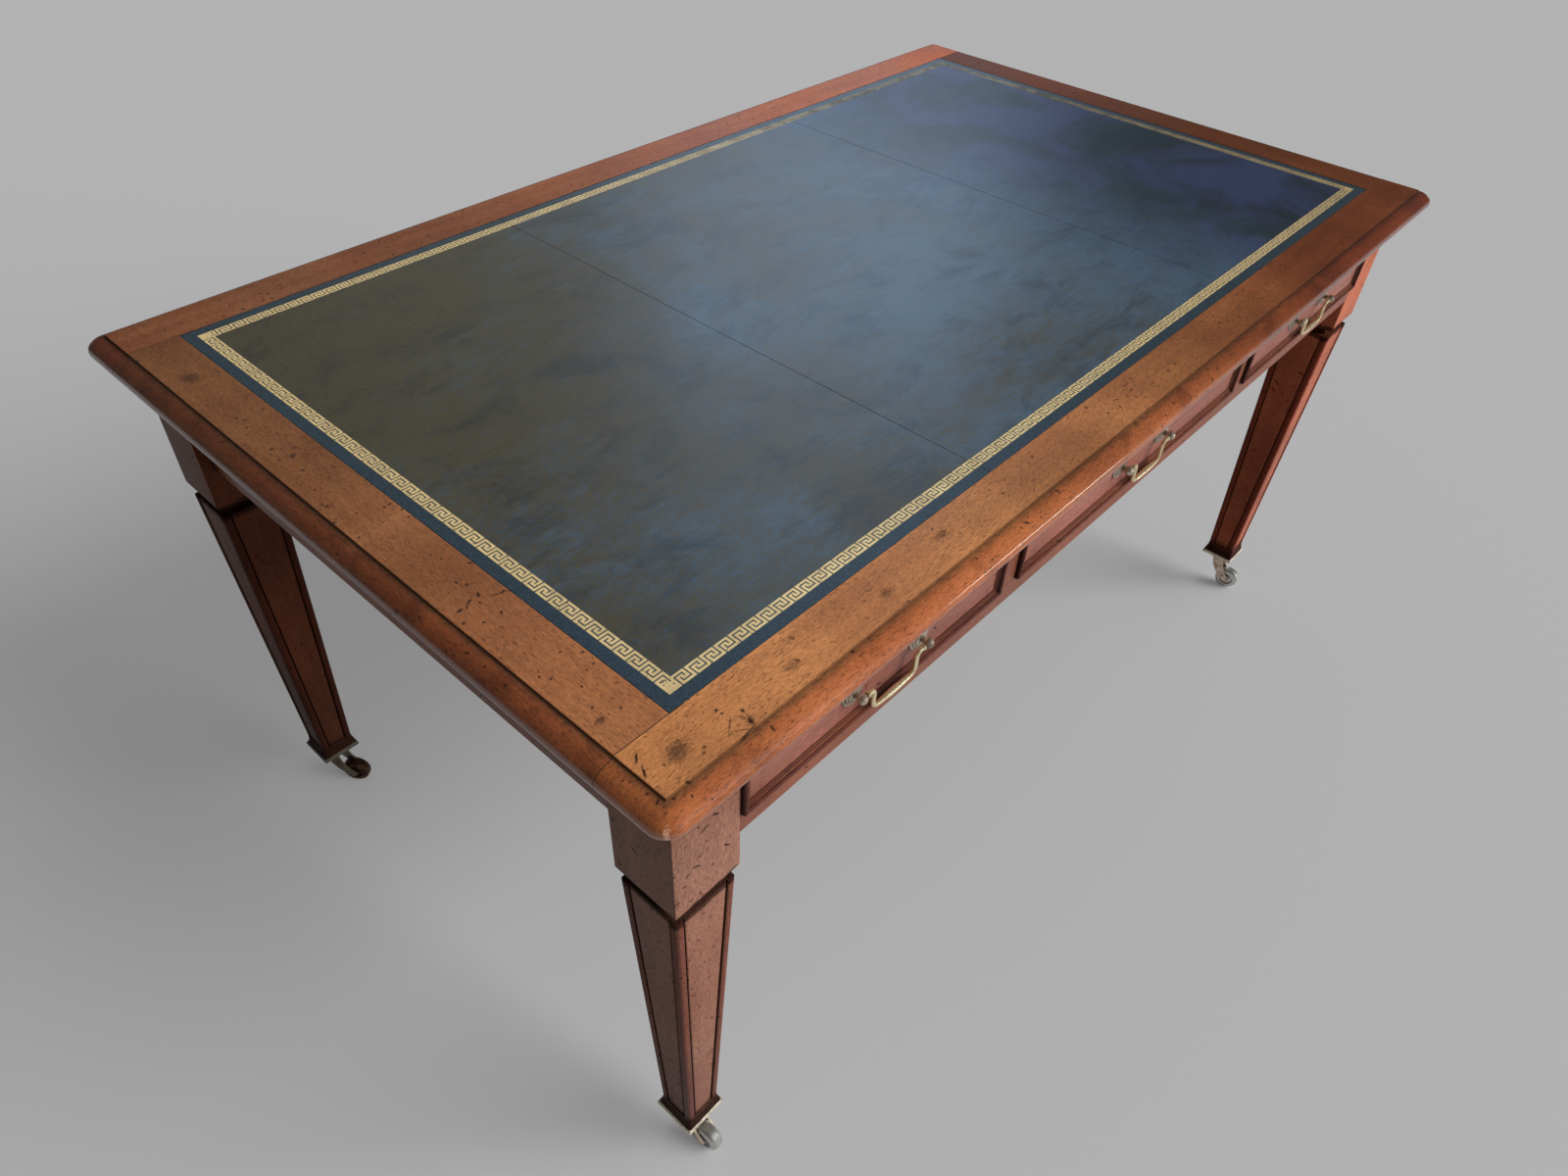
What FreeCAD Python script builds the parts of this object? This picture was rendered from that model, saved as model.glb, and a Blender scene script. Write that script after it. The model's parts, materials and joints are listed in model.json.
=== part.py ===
"""A partners desk, built from the separate pieces that it comes apart into.

Millimetres, +Z up, +X along the desk's length, origin on the floor under its middle.
The drawers open towards -Y on the front and towards +Y on the back. Every size is a cell
of the sheet "Sizes"; every sketch, feature and placement is bound to those cells.
"""
import FreeCAD, Part
import os
import re

import Sketcher

SIZES = {
    # overall
    "desk_length": 1532, "desk_depth": 918, "desk_height": 765,
    # top board: frame of four rails with a nosing, panel and leather
    "board_thick": 26, "border_width": 55,
    "nosing_out": 21, "quirk_drop": 2.5, "quirk_flat": 0.8,
    "nosing_under": 10, "nose_radius": 9,
    "leather_thick": 1.6, "leather_drop": 0.4, "leather_gap": 0.5,
    "seam_x": 268, "seam_gap": 0.3,
    # legs
    "leg_setback": 36, "leg_block": 76, "block_below_frieze": 56.5,
    "block_round": 12, "notch_height": 8, "ledge_round": 2.5, "taper_top_width": 72.4,
    "taper_foot_width": 45.6, "foot_flare_height": 17, "foot_width": 51.5,
    "corner_bead_width": 9, "corner_bead_round": 4.5, "bead_back_round": 2.2,
    "leg_quirk_width": 1.6, "leg_quirk_depth": 2.8, "field_sink": 1.2, "field_edge_round": 2.2,
    "foot_corner_round": 4,
    # frieze
    "frieze_height": 124, "lower_rail_height": 24, "opening_height": 75.5,
    "middle_opening": 497.4, "divider_width": 28, "rail_depth": 60,
    "apron_thick": 22, "apron_setback": 15, "bearer_thick": 20,
    "runner_width": 18, "runner_thick": 20, "guide_height": 22, "kicker_thick": 18,
    # drawers
    "drawer_side_gap": 1.2, "drawer_top_gap": 0.8, "drawer_under_gap": 0.3,
    "drawer_stop_gap": 0.5, "face_recess": 0.6, "face_thick": 18,
    "side_thick": 10, "back_thick": 9, "back_drop": 10,
    "bottom_thick": 5, "bottom_rise": 6, "groove_depth": 4,
    "lap_length": 12, "tail_root": 12, "tail_flare": 2,
    # moulding applied round each drawer face
    "moulding_width": 10, "moulding_proud": 5.2, "bead_radius": 2.6, "quirk_width": 0.7,
    "quirk_proud": 1.6, "cove_high": 3.2, "cove_low": 0.2, "cove_radius": 4.2,
    # swan-neck handles
    "post_spacing": 96, "ball_out": 11, "ball_radius": 5.2, "neck_radius": 2.8,
    "rose_radius": 14.5, "rose_step": 1.3, "rose_ring": 3, "shank_radius": 2.4,
    "nut_width": 9, "nut_thick": 3.5, "thread_end": 1.5,
    "bail_pin_radius": 1.25, "running_gap": 0.07, "pin_in_ball": 3.8, "bail_side_gap": 0.5,
    "boss_length": 4.2, "boss_radius": 3.5, "bail_radius": 2.35,
    "neck_in": 17, "neck_bend": 6, "grip_bend": 9, "grip_drop": 25.5, "grip_radius": 3.3,
    # castors
    "wheel_radius": 20, "wheel_width": 17, "wheel_round": 6, "rim_width": 8,
    "hub_radius": 6.5, "dish_depth": 3.5, "axle_radius": 3, "rivet_radius": 4.3,
    "rivet_dome": 1.5, "castor_trail": 25, "castor_height": 73.5,
    "fork_width": 25, "fork_gap": 19, "fork_top_width": 21, "hub_end_radius": 4.6,
    "hub_tilt": 38, "fork_front_radius": 62, "fork_back_radius": 48,
    "crown_thick": 6, "head_thick": 5.2, "head_radius": 16.5, "head_gap": 0.3,
    "kingpin_radius": 5, "kingpin_rise": 30, "kingpin_play": 0.4,
    "plate_size": 54, "plate_thick": 6.5, "plate_chamfer": 1.8,
    "screw_inset": 8, "screw_radius": 1.9, "screw_head_radius": 3.6,
    "screw_head_height": 2, "screw_length": 24, "screw_gap": 0.3,
    # trail directions of the castors at rest, degrees from +X towards +Y
    "trail_front_left": -86, "trail_front_right": -79,
    "trail_back_left": -55, "trail_back_right": -70,
}

DERIVED = {
    "board_bottom": "desk_height - board_thick",
    "frieze_bottom": "board_bottom - frieze_height",
    "opening_bottom": "frieze_bottom + lower_rail_height",
    "opening_top": "opening_bottom + opening_height",
    # nosing: a quarter oval of two tangent arcs above the nose, one arc below it
    "rail_width": "nosing_out + border_width",
    "nose_level": "board_bottom + nosing_under",
    "thumb_run": "nosing_out - quirk_flat",
    "thumb_fall": "desk_height - quirk_drop - nose_level",
    "thumb_radius": "((thumb_run - nose_radius)^2 + thumb_fall^2 - nose_radius^2)"
                    " / (2 * (thumb_fall - nose_radius))",
    "thumb_share": "nose_radius / (thumb_radius - nose_radius)",
    "thumb_end_run": "(thumb_run - nose_radius) * (1 + thumb_share)",
    "thumb_end_rise": "thumb_share * (thumb_radius - thumb_fall)",
    # plan
    "half_length": "desk_length / 2",
    "half_depth": "desk_depth / 2",
    "leg_x": "half_length - leg_setback - leg_block / 2",
    "leg_y": "half_depth - leg_setback - leg_block / 2",
    "leg_inner_x": "leg_x - leg_block / 2",
    "leg_inner_y": "leg_y - leg_block / 2",
    "frieze_y": "half_depth - leg_setback",
    "rail_back_y": "frieze_y - rail_depth",
    "apron_outer_x": "leg_x + leg_block / 2 - apron_setback",
    "apron_inner_x": "apron_outer_x - apron_thick",
    "bearer_y": "bearer_thick / 2",
    "divider_in_x": "middle_opening / 2",
    "divider_out_x": "divider_in_x + divider_width",
    "side_opening": "leg_inner_x - divider_out_x",
    "side_drawer_x": "(leg_inner_x + divider_out_x) / 2",
    # legs
    "plate_top": "castor_height + plate_thick",
    "neck_level": "frieze_bottom - block_below_frieze",
    "ledge_level": "neck_level - notch_height",
    "neck_half": "leg_block / 2 - block_round",
    "taper_foot_level": "plate_top + foot_flare_height",
    "flare_run": "(foot_width - taper_foot_width) / 2",
    "flare_radius": "(flare_run^2 + foot_flare_height^2) / (2 * flare_run)",
    "taper_slope": "(taper_top_width - taper_foot_width) / 2"
                   " / (ledge_level - taper_foot_level)",
    "taper_top_half": "taper_top_width / 2",
    "taper_end_half": "taper_foot_width / 2 - taper_slope * foot_flare_height",
    # drawers, in the frame of their own opening: y = 0 at the frieze face, z = 0 at its sill
    "face_back": "face_recess + face_thick",
    "drawer_end": "frieze_y - bearer_y - drawer_stop_gap",
    "drawer_top": "opening_height - drawer_top_gap",
    "drawer_tall": "drawer_top - drawer_under_gap",
    "bottom_low": "drawer_under_gap + bottom_rise",
    "bottom_high": "bottom_low + bottom_thick",
    # handles, in the drawer's frame
    "post_x": "post_spacing / 2",
    "post_z": "opening_height / 2",
    "ball_joint": "ball_out - sqrt(ball_radius^2 - neck_radius^2)",
    "shank_hole_radius": "shank_radius + running_gap",
    "ball_hole_radius": "bail_pin_radius + running_gap",
    "boss_start": "post_x - ball_radius - bail_side_gap",
    "boss_end": "boss_start - boss_length",
    "neck_x": "post_x - neck_in",
    "grip_x": "neck_x - grip_bend",
    "grip_swell": "grip_radius - bail_radius",
    "barrel_radius": "(grip_x^2 + grip_swell^2) / (2 * grip_swell)",
    # castors
    "fork_top": "castor_height - head_gap",
    "crown_top": "fork_top - head_thick",
    "slot_top": "crown_top - crown_thick",
    "hub_cos": "hub_end_radius * cos(hub_tilt * 1deg)",
    "hub_sin": "hub_end_radius * sin(hub_tilt * 1deg)",
    "wheel_bore": "axle_radius + running_gap",
    "kingpin_bore": "kingpin_radius + running_gap",
    "screw_place": "plate_size / 2 - screw_inset",
}

LEFT, RIGHT = 1, -1
CUT_MARGIN = "leg_block"
THROUGH = "2 * desk_depth"
PICK_ROOM = 0.1
LEAST_CUT = 0.001
FULL_TURN, QUARTER_TURN = 360, 90
LEG_SIDES = 4
TAILS = 3
ROSE_RINGS = 3
FUNCTIONS = ("sqrt", "cos", "sin", "deg")
CUTTING = ("PartDesign::Pocket", "PartDesign::Groove", "PartDesign::SubtractiveWedge",
           "PartDesign::PolarPattern", "PartDesign::Mirrored", "PartDesign::Chamfer",
           "PartDesign::Fillet")

DOC = FreeCAD.newDocument("PartnersDesk")
NODES = []


# ---------------------------------------------------------------- sizes and expressions

def make_sheet():
    """Write every size into the sheet as a plain number with its alias."""
    sheet = DOC.addObject("Spreadsheet::Sheet", "Sizes")
    for row, (alias, number) in enumerate(SIZES.items(), start=1):
        sheet.set(f"A{row}", alias)
        sheet.set(f"B{row}", str(number))
        sheet.setAlias(f"B{row}", alias)
    DOC.recompute()
    return sheet


SHEET = make_sheet()


def ex(text):
    """Expression on the sheet for text, where each word is a size or a derived size."""
    def swap(found):
        word = found.group(0)
        if word in FUNCTIONS:
            return word
        if word in DERIVED:
            return "(" + ex(DERIVED[word]) + ")"
        return "Sizes." + word
    return re.sub(r"[a-z][a-z_]*", swap, str(text))


def value(text):
    """Number that text stands for with the present sizes."""
    return float(SHEET.evalExpression(ex(text)))


def minus(text):
    """Text for the negative of text."""
    return f"-({text})"


# ---------------------------------------------------------------- sketches and features

def add_loop(sketch, corners, closed=True):
    """Draw a loop or an open line through corners and fix each by its two coordinates.

    A corner (x, y) starts a straight edge; (x, y, radius, turn) starts an arc of that
    radius which turns LEFT or RIGHT as it travels to the next corner.
    """
    count = len(corners) if closed else len(corners) - 1
    base = sketch.GeometryCount
    places = [FreeCAD.Vector(value(c[0]), value(c[1]), 0) for c in corners]
    rules, bound, ends = [], [], []
    for index, corner in enumerate(corners[:count]):
        start, stop = places[index], places[(index + 1) % len(corners)]
        if len(corner) == 2:
            sketch.addGeometry(Part.LineSegment(start, stop), False)
            ends.append((1, 2))
            continue
        radius, turn = value(corner[2]), corner[3]
        chord = stop - start
        side = FreeCAD.Vector(-chord.y, chord.x, 0) / chord.Length * turn
        centre = (start + stop) / 2 + side * (radius**2 - (chord.Length / 2)**2)**0.5
        first, last = (start, stop) if turn == LEFT else (stop, start)
        circle = Part.Circle(centre, FreeCAD.Vector(0, 0, 1), radius)
        arc = Part.ArcOfCircle(circle, circle.parameter(first), circle.parameter(last))
        sketch.addGeometry(arc, False)
        ends.append((1, 2) if turn == LEFT else (2, 1))
        rules.append(Sketcher.Constraint("Radius", base + index, radius))
        bound.append(corner[2])
    for index, corner in enumerate(corners):
        if index == count:
            here, end = base + index - 1, ends[-1][1]
        else:
            here, end = base + index, ends[index][0]
        for kind, text in (("DistanceX", corner[0]), ("DistanceY", corner[1])):
            rules.append(Sketcher.Constraint(kind, -1, 1, here, end, value(text)))
            bound.append(text)
    for index in range(count if closed else count - 1):
        after = (index + 1) % count
        rules.append(Sketcher.Constraint("Coincident", base + index, ends[index][1],
                                         base + after, ends[after][0]))
        bound.append(None)
    bind_rules(sketch, rules, bound)


def add_circle(sketch, x, y, radius):
    """Circle whose centre and radius follow the sheet."""
    index = sketch.GeometryCount
    centre = FreeCAD.Vector(value(x), value(y), 0)
    sketch.addGeometry(Part.Circle(centre, FreeCAD.Vector(0, 0, 1), value(radius)), False)
    rules = [Sketcher.Constraint("Radius", index, value(radius)),
             Sketcher.Constraint("DistanceX", -1, 1, index, 3, value(x)),
             Sketcher.Constraint("DistanceY", -1, 1, index, 3, value(y))]
    bind_rules(sketch, rules, [radius, x, y])


def bind_rules(sketch, rules, bound):
    """Add the constraints and bind each one that has a text to the sheet."""
    for index, text in zip(sketch.addConstraint(rules), bound):
        if text is not None and re.search("[a-z]", str(text)):
            sketch.setExpression(f"Constraints[{index}]", ex(text))


def draw(owner, name, plane, loops=(), circles=(), shift=None):
    """Sketch on one of the owner's origin planes, moved by shift in its own x, y or z."""
    sketch = owner.newObject("Sketcher::SketchObject", name)
    support = [part for part in owner.Origin.OriginFeatures if part.Role == plane + "_Plane"]
    sketch.AttachmentSupport = [(support[0], "")]
    sketch.MapMode = "FlatFace"
    for axis, text in (shift or {}).items():
        sketch.setExpression(f"AttachmentOffset.Base.{axis}", ex(text))
    for corners in loops:
        add_loop(sketch, corners)
    for circle in circles:
        add_circle(sketch, *circle)
    return sketch


def rectangle(x, y):
    """Corners of a rectangle between the two values of x and the two of y."""
    return [(x[0], y[0]), (x[1], y[0]), (x[1], y[1]), (x[0], y[1])]


def flip(corners):
    """The same loop on the other side of the sketch's vertical axis."""
    turned = []
    for index in range(len(corners) - 1, -1, -1):
        arc = corners[index - 1][2:]
        arc = (arc[0], arc[1]) if arc else ()
        turned.append((minus(corners[index][0]), corners[index][1]) + arc)
    return turned


def extrude(owner, kind, name, profile, length, symmetric=False, reverse=False):
    """Pad or Pocket of a profile, with its length bound to the sheet."""
    feature = owner.newObject("PartDesign::" + kind, name)
    feature.Profile = profile
    feature.setExpression("Length", ex(length))
    feature.Length = value(length)
    feature.Midplane = symmetric
    feature.Reversed = reverse
    return feature


def cut_through(owner, name, profile):
    """Pocket that runs through everything on both sides of its sketch."""
    return extrude(owner, "Pocket", name, profile, THROUGH, symmetric=True)


def revolve(owner, name, profile, axis, kind="Revolution", angle=FULL_TURN):
    """Revolution or Groove of a profile about its sketch's own H_Axis or V_Axis."""
    feature = owner.newObject("PartDesign::" + kind, name)
    feature.Profile = profile
    feature.ReferenceAxis = (profile, [axis])
    feature.Angle = angle
    return feature


def body(name):
    """Empty PartDesign body."""
    return DOC.addObject("PartDesign::Body", name)


def origin_part(owner, role):
    """Plane or axis of the owner's origin."""
    return [part for part in owner.Origin.OriginFeatures if part.Role == role][0]


def repeat_about_z(owner, name, features, count):
    """Copies of features turned evenly about the owner's Z axis."""
    pattern = owner.newObject("PartDesign::PolarPattern", name)
    pattern.Originals = features
    pattern.Axis = (origin_part(owner, "Z_Axis"), [""])
    pattern.Angle = FULL_TURN
    pattern.Occurrences = count
    owner.Tip = pattern
    return pattern


def mirror_across(owner, name, features, plane):
    """Mirror copies of features across one of the owner's origin planes."""
    twin = owner.newObject("PartDesign::Mirrored", name)
    twin.Originals = features
    twin.MirrorPlane = (origin_part(owner, plane + "_Plane"), [""])
    owner.Tip = twin
    return twin


def edges_where(feature, test):
    """Names of the feature's edges that pass test."""
    return [f"Edge{index}" for index, edge in enumerate(feature.Shape.Edges, start=1)
            if test(edge)]


def dress(owner, kind, name, feature, edges, size):
    """Fillet or Chamfer of a feature's edges, with its size bound to the sheet."""
    item = owner.newObject("PartDesign::" + kind, name)
    item.Base = (feature, edges)
    item.setExpression("Radius" if kind == "Fillet" else "Size", ex(size))
    return item


def box(name, x, y, z):
    """Rectangular piece between pairs of faces, each pair given as (low, high)."""
    item = DOC.addObject("Part::Box", name)
    for axis, side, (low, high) in zip("xyz", ("Length", "Width", "Height"), (x, y, z)):
        item.setExpression(side, ex(f"({high}) - ({low})"))
        item.setExpression(f"Placement.Base.{axis}", ex(low))
    return item


def mirrored(name, source, normal):
    """Mirror copy of a piece through the origin."""
    item = DOC.addObject("Part::Mirroring", name)
    item.Source = source
    item.Normal = FreeCAD.Vector(*normal)
    return item


def group(name, pieces):
    """Several separate solids held under one name."""
    item = DOC.addObject("Part::Compound", name)
    item.Links = pieces
    return item


def set_place(item, place, angle="0"):
    """Bind an object's position, and its turn about Z, to the sheet."""
    upright = FreeCAD.Vector(0, 0, 1)
    item.Placement = FreeCAD.Placement(FreeCAD.Vector(), FreeCAD.Rotation(upright, 1))
    item.setExpression("Placement.Rotation.Angle", f"({ex(angle)}) * 1deg")
    for axis, text in zip("xyz", place):
        item.setExpression(f"Placement.Base.{axis}", ex(text))


def copy_of(name, source, place=("0", "0", "0"), angle="0"):
    """Linked copy of a piece, placed in the desk's frame."""
    item = DOC.addObject("App::Link", name)
    item.LinkedObject = source
    set_place(item, place, angle)
    return item


def keep(item):
    """Make an object one of the desk's named pieces."""
    NODES.append(item)
    return item


# ---------------------------------------------------------------- top board

def nosing(edge):
    """Points of the nosing, from the flat field down to the underside.

    edge is the distance of its outermost line from the middle.
    """
    quirk = f"{edge} - nosing_out"
    start = f"{quirk} + quirk_flat"
    return [(quirk, "desk_height"),
            (quirk, "desk_height - quirk_drop"),
            (start, "desk_height - quirk_drop", "thumb_radius", RIGHT),
            (f"{start} + thumb_end_run", "nose_level + thumb_end_rise", "nose_radius", RIGHT),
            (edge, "nose_level", "nosing_under", RIGHT),
            (f"{edge} - nosing_under", "board_bottom")]


def rail_section(edge):
    """Cross-section of a top rail whose nosing faces the positive side of the sketch."""
    inner = f"{edge} - rail_width"
    return [(inner, "board_bottom"), (inner, "desk_height")] + nosing(edge)


def end_waste(edge):
    """What is cut off a squared end to leave the nosing on it."""
    far, low, high = (f"{edge} + {CUT_MARGIN}", f"board_bottom - {CUT_MARGIN}",
                      f"desk_height + {CUT_MARGIN}")
    return nosing(edge) + [(f"{edge} - nosing_under", low), (far, low), (far, high),
                           (f"{edge} - nosing_out", high)]


def long_rail():
    """Back rail of the top frame; its nosing returns across both ends."""
    rail = body("long_rail")
    section = draw(rail, "long_rail_section", "YZ", [rail_section("half_depth")])
    extrude(rail, "Pad", "long_rail_pad", section, "desk_length", symmetric=True)
    ends = [end_waste("half_length"), flip(end_waste("half_length"))]
    waste = draw(rail, "long_rail_ends", "XZ", ends)
    cut_through(rail, "long_rail_end_nosing", waste)
    corner = draw(rail, "long_rail_corner", "XZ", [end_waste("nosing_out")],
                  shift={"x": "half_length - nosing_out", "z": "nosing_out - half_depth"})
    turned = revolve(rail, "turned_corner", corner, "V_Axis", kind="Groove", angle=QUARTER_TURN)
    mirror_across(rail, "other_turned_corner", [turned], "YZ")
    return rail


def short_rail():
    """Right rail of the top frame, butted between the long rails."""
    rail = body("short_rail")
    section = draw(rail, "short_rail_section", "XZ", [rail_section("half_length")])
    extrude(rail, "Pad", "short_rail_pad", section, "desk_depth - 2 * rail_width", symmetric=True)
    return rail


def leather_piece(name, x):
    """One skin of the writing surface between two seams."""
    inset = "half_depth - rail_width - leather_gap"
    top = "desk_height - leather_drop"
    return box(name, x, (minus(inset), inset), (f"{top} - leather_thick", top))


def make_top():
    """Framed top: four nosed rails, a panel flush inside them and the leather on it."""
    rail = long_rail()
    keep(copy_of("top_rail_back", rail))
    keep(copy_of("top_rail_front", rail, angle="180"))
    side = short_rail()
    keep(copy_of("top_rail_right", side))
    keep(copy_of("top_rail_left", side, angle="180"))
    wide, deep = "half_length - rail_width", "half_depth - rail_width"
    keep(box("top_panel", (minus(wide), wide), (minus(deep), deep),
             ("board_bottom", "desk_height - leather_drop - leather_thick")))
    end, seam = f"{wide} - leather_gap", "seam_x + seam_gap / 2"
    inner = "seam_x - seam_gap / 2"
    skins = [leather_piece("leather_left", (minus(end), minus(seam))),
             leather_piece("leather_middle", (minus(inner), inner)),
             leather_piece("leather_right", (seam, end))]
    keep(group("writing_leather", skins))


# ---------------------------------------------------------------- legs

def head_edge():
    """One side of the leg's head: notch, rounded block and up to the board."""
    return [("neck_half", "ledge_level"),
            ("neck_half", "neck_level", "block_round", LEFT),
            ("leg_block / 2", "neck_level + block_round"),
            ("leg_block / 2", "board_bottom")]


def foot_edge():
    """One side of the flared foot, from the castor plate up."""
    return [("foot_width / 2", "plate_top", "flare_radius", RIGHT),
            ("taper_foot_width / 2", "taper_foot_level")]


def ledge_edge():
    """Rounding of the ledge under the notch, and clear of it above."""
    flat = "taper_top_half - ledge_round"
    return [("taper_top_half", "ledge_level - ledge_round", "ledge_round", LEFT),
            (flat, "ledge_level"), (flat, "ledge_level + notch_height / 2")]


def beyond(edge):
    """Timber sawn off outside one side of a silhouette."""
    far = f"leg_block / 2 + {CUT_MARGIN}"
    return edge + [(far, edge[-1][1]), (far, edge[0][1])]


def whole_section(half):
    """Square section of the leg: x low, x high, -y low, -y high."""
    return (minus(half), half, minus(half), half)


def field_section(half):
    """Section of the sunk field between the corner beads."""
    edge = f"{half} - corner_bead_width"
    return (minus(edge), edge, f"{half} - field_sink", f"{half} + {CUT_MARGIN}")


def right_quirk_section(half):
    """Section of the groove between the field and the bead on its right."""
    edge = f"{half} - corner_bead_width"
    return (f"{edge} - leg_quirk_width", edge,
            f"{half} - field_sink - leg_quirk_depth", f"{half} + {CUT_MARGIN}")


def left_quirk_section(half):
    """Section of the groove between the field and the bead on its left."""
    low, high, floor, far = right_quirk_section(half)
    return (minus(high), minus(low), floor, far)


def taper(owner, kind, name, section):
    """Wedge over the whole length of the leg's taper, with a section that follows its width."""
    item = owner.newObject(f"PartDesign::{kind}Wedge", name)
    item.AttachmentSupport = [(origin_part(owner, "XZ_Plane"), "")]
    item.MapMode = "FlatFace"
    foot = section("taper_end_half") + ("plate_top",)
    top = section("taper_top_half") + ("ledge_level",)
    for field, text in zip(("Xmin", "Xmax", "Zmin", "Zmax", "Ymin"), foot):
        item.setExpression(field, ex(text))
    for field, text in zip(("X2min", "X2max", "Z2min", "Z2max", "Ymax"), top):
        item.setExpression(field, ex(text))
    return item


def taper_edges(feature, across, depth):
    """Long edges that lie across from the leg's corner and at a depth below its face."""
    top, slope = value("ledge_level"), value("taper_slope")
    top_half, length = value("taper_top_half"), top - value("plate_top")

    def fits(edge):
        middle = edge.valueAt((edge.FirstParameter + edge.LastParameter) / 2)
        half = top_half - slope * (top - middle.z)
        near, far = sorted((abs(middle.x), abs(middle.y)))
        return (edge.BoundBox.ZLength > length / 2
                and abs(half - near - value(across)) < PICK_ROOM
                and abs(half - far - value(depth)) < PICK_ROOM)
    return edges_where(feature, fits)


def foot_corners(feature):
    """Curved corner edges of the flared foot."""
    level, height = value("taper_foot_level"), value("foot_flare_height")

    def fits(edge):
        middle = edge.valueAt((edge.FirstParameter + edge.LastParameter) / 2)
        return (edge.BoundBox.ZMax < level + PICK_ROOM and edge.BoundBox.ZLength > height / 2
                and abs(abs(middle.x) - abs(middle.y)) < PICK_ROOM)
    return edges_where(feature, fits)


def shape_taper(leg):
    """Tapering length of the leg: beads on the corners, quirks and sunk fields between them."""
    blank = taper(leg, "Additive", "leg_taper", whole_section)
    DOC.recompute()
    dress(leg, "Fillet", "corner_beads", blank, taper_edges(blank, "0", "0"),
          "corner_bead_round")
    cuts = [taper(leg, "Subtractive", "sunk_field", field_section),
            taper(leg, "Subtractive", "right_quirk", right_quirk_section),
            taper(leg, "Subtractive", "left_quirk", left_quirk_section)]
    sides = repeat_about_z(leg, "sunk_sides", cuts, LEG_SIDES)
    DOC.recompute()
    backs = dress(leg, "Fillet", "bead_backs", sides,
                  taper_edges(sides, "corner_bead_width", "0"), "bead_back_round")
    DOC.recompute()
    dress(leg, "Fillet", "field_edges", backs,
          taper_edges(backs, "corner_bead_width + leg_quirk_width", "field_sink"),
          "field_edge_round")
    waste = draw(leg, "ledge_waste", "XZ", [beyond(ledge_edge())])
    ledge = cut_through(leg, "ledge_rounding", waste)
    repeat_about_z(leg, "ledge_roundings", [ledge], LEG_SIDES)


def make_leg():
    """Square tapering leg with corner beads, a notched head and a flared foot."""
    leg = body("leg")
    shape_taper(leg)
    edges = (head_edge(), foot_edge())
    silhouette = draw(leg, "leg_front", "XZ", [edge + flip(edge) for edge in edges])
    extrude(leg, "Pad", "leg_ends", silhouette, "leg_block", symmetric=True)
    waste = [beyond(edge) for edge in edges]
    sides = draw(leg, "leg_side", "YZ", waste + [flip(loop) for loop in waste])
    sawn = cut_through(leg, "leg_sawn", sides)
    DOC.recompute()
    dress(leg, "Fillet", "foot_corners", sawn, foot_corners(sawn), "foot_corner_round")
    bore_leg(leg)
    return leg


def screw_circles(radius):
    """Circles of the four castor screws."""
    return [(x, y, radius) for x in ("screw_place", minus("screw_place"))
            for y in ("screw_place", minus("screw_place"))]


def bore_leg(leg):
    """Holes up into the foot for the castor's kingpin and the plate's screws."""
    kingpin = draw(leg, "kingpin_hole_circle", "XY", shift={"z": "plate_top"},
                   circles=[("0", "0", "kingpin_radius + kingpin_play")])
    extrude(leg, "Pocket", "kingpin_hole", kingpin, "kingpin_rise", reverse=True)
    pilots = draw(leg, "pilot_circles", "XY", shift={"z": "plate_top"},
                  circles=screw_circles("screw_radius + running_gap"))
    extrude(leg, "Pocket", "pilot_holes", pilots, "screw_length", reverse=True)


def corners():
    """Names and places of the desk's four corners."""
    for depth_name, y in (("front", minus("leg_y")), ("back", "leg_y")):
        for side_name, x in (("left", minus("leg_x")), ("right", "leg_x")):
            yield f"{depth_name}_{side_name}", x, y


def make_legs():
    """The same leg at each corner."""
    leg = make_leg()
    for corner, x, y in corners():
        keep(copy_of(f"leg_{corner}", leg, (x, y, "0")))


# ---------------------------------------------------------------- frieze

def both_sides(name, pieces):
    """Group of pieces made for the back, with their mirror copies on the front."""
    back = group(name + "_back", pieces)
    front = mirrored(name + "_front", back, (0, 1, 0))
    return keep(group(name, [back, front]))


def both_ends(name, piece):
    """Group of a piece on the right and its mirror copy on the left."""
    return [piece, mirrored(name + "_mirrored", piece, (1, 0, 0))]


def make_frieze():
    """Rails, dividers and aprons between the legs."""
    between, front_to_back = (minus("leg_inner_x"), "leg_inner_x"), ("rail_back_y", "frieze_y")
    both_sides("lower_rails", [box("lower_rail", between, front_to_back,
                                   ("frieze_bottom", "opening_bottom"))])
    both_sides("upper_rails", [box("upper_rail", between, front_to_back,
                                   ("opening_top", "board_bottom"))])
    divider = box("divider", ("divider_in_x", "divider_out_x"), front_to_back,
                  ("opening_bottom", "opening_top"))
    both_sides("drawer_dividers", both_ends("divider", divider))
    apron = keep(box("end_apron_right", ("apron_inner_x", "apron_outer_x"),
                     (minus("leg_inner_y"), "leg_inner_y"), ("frieze_bottom", "board_bottom")))
    keep(mirrored("end_apron_left", apron, (1, 0, 0)))
    keep(box("centre_bearer", (minus("apron_inner_x"), "apron_inner_x"),
             (minus("bearer_y"), "bearer_y"), ("frieze_bottom", "board_bottom")))


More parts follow.
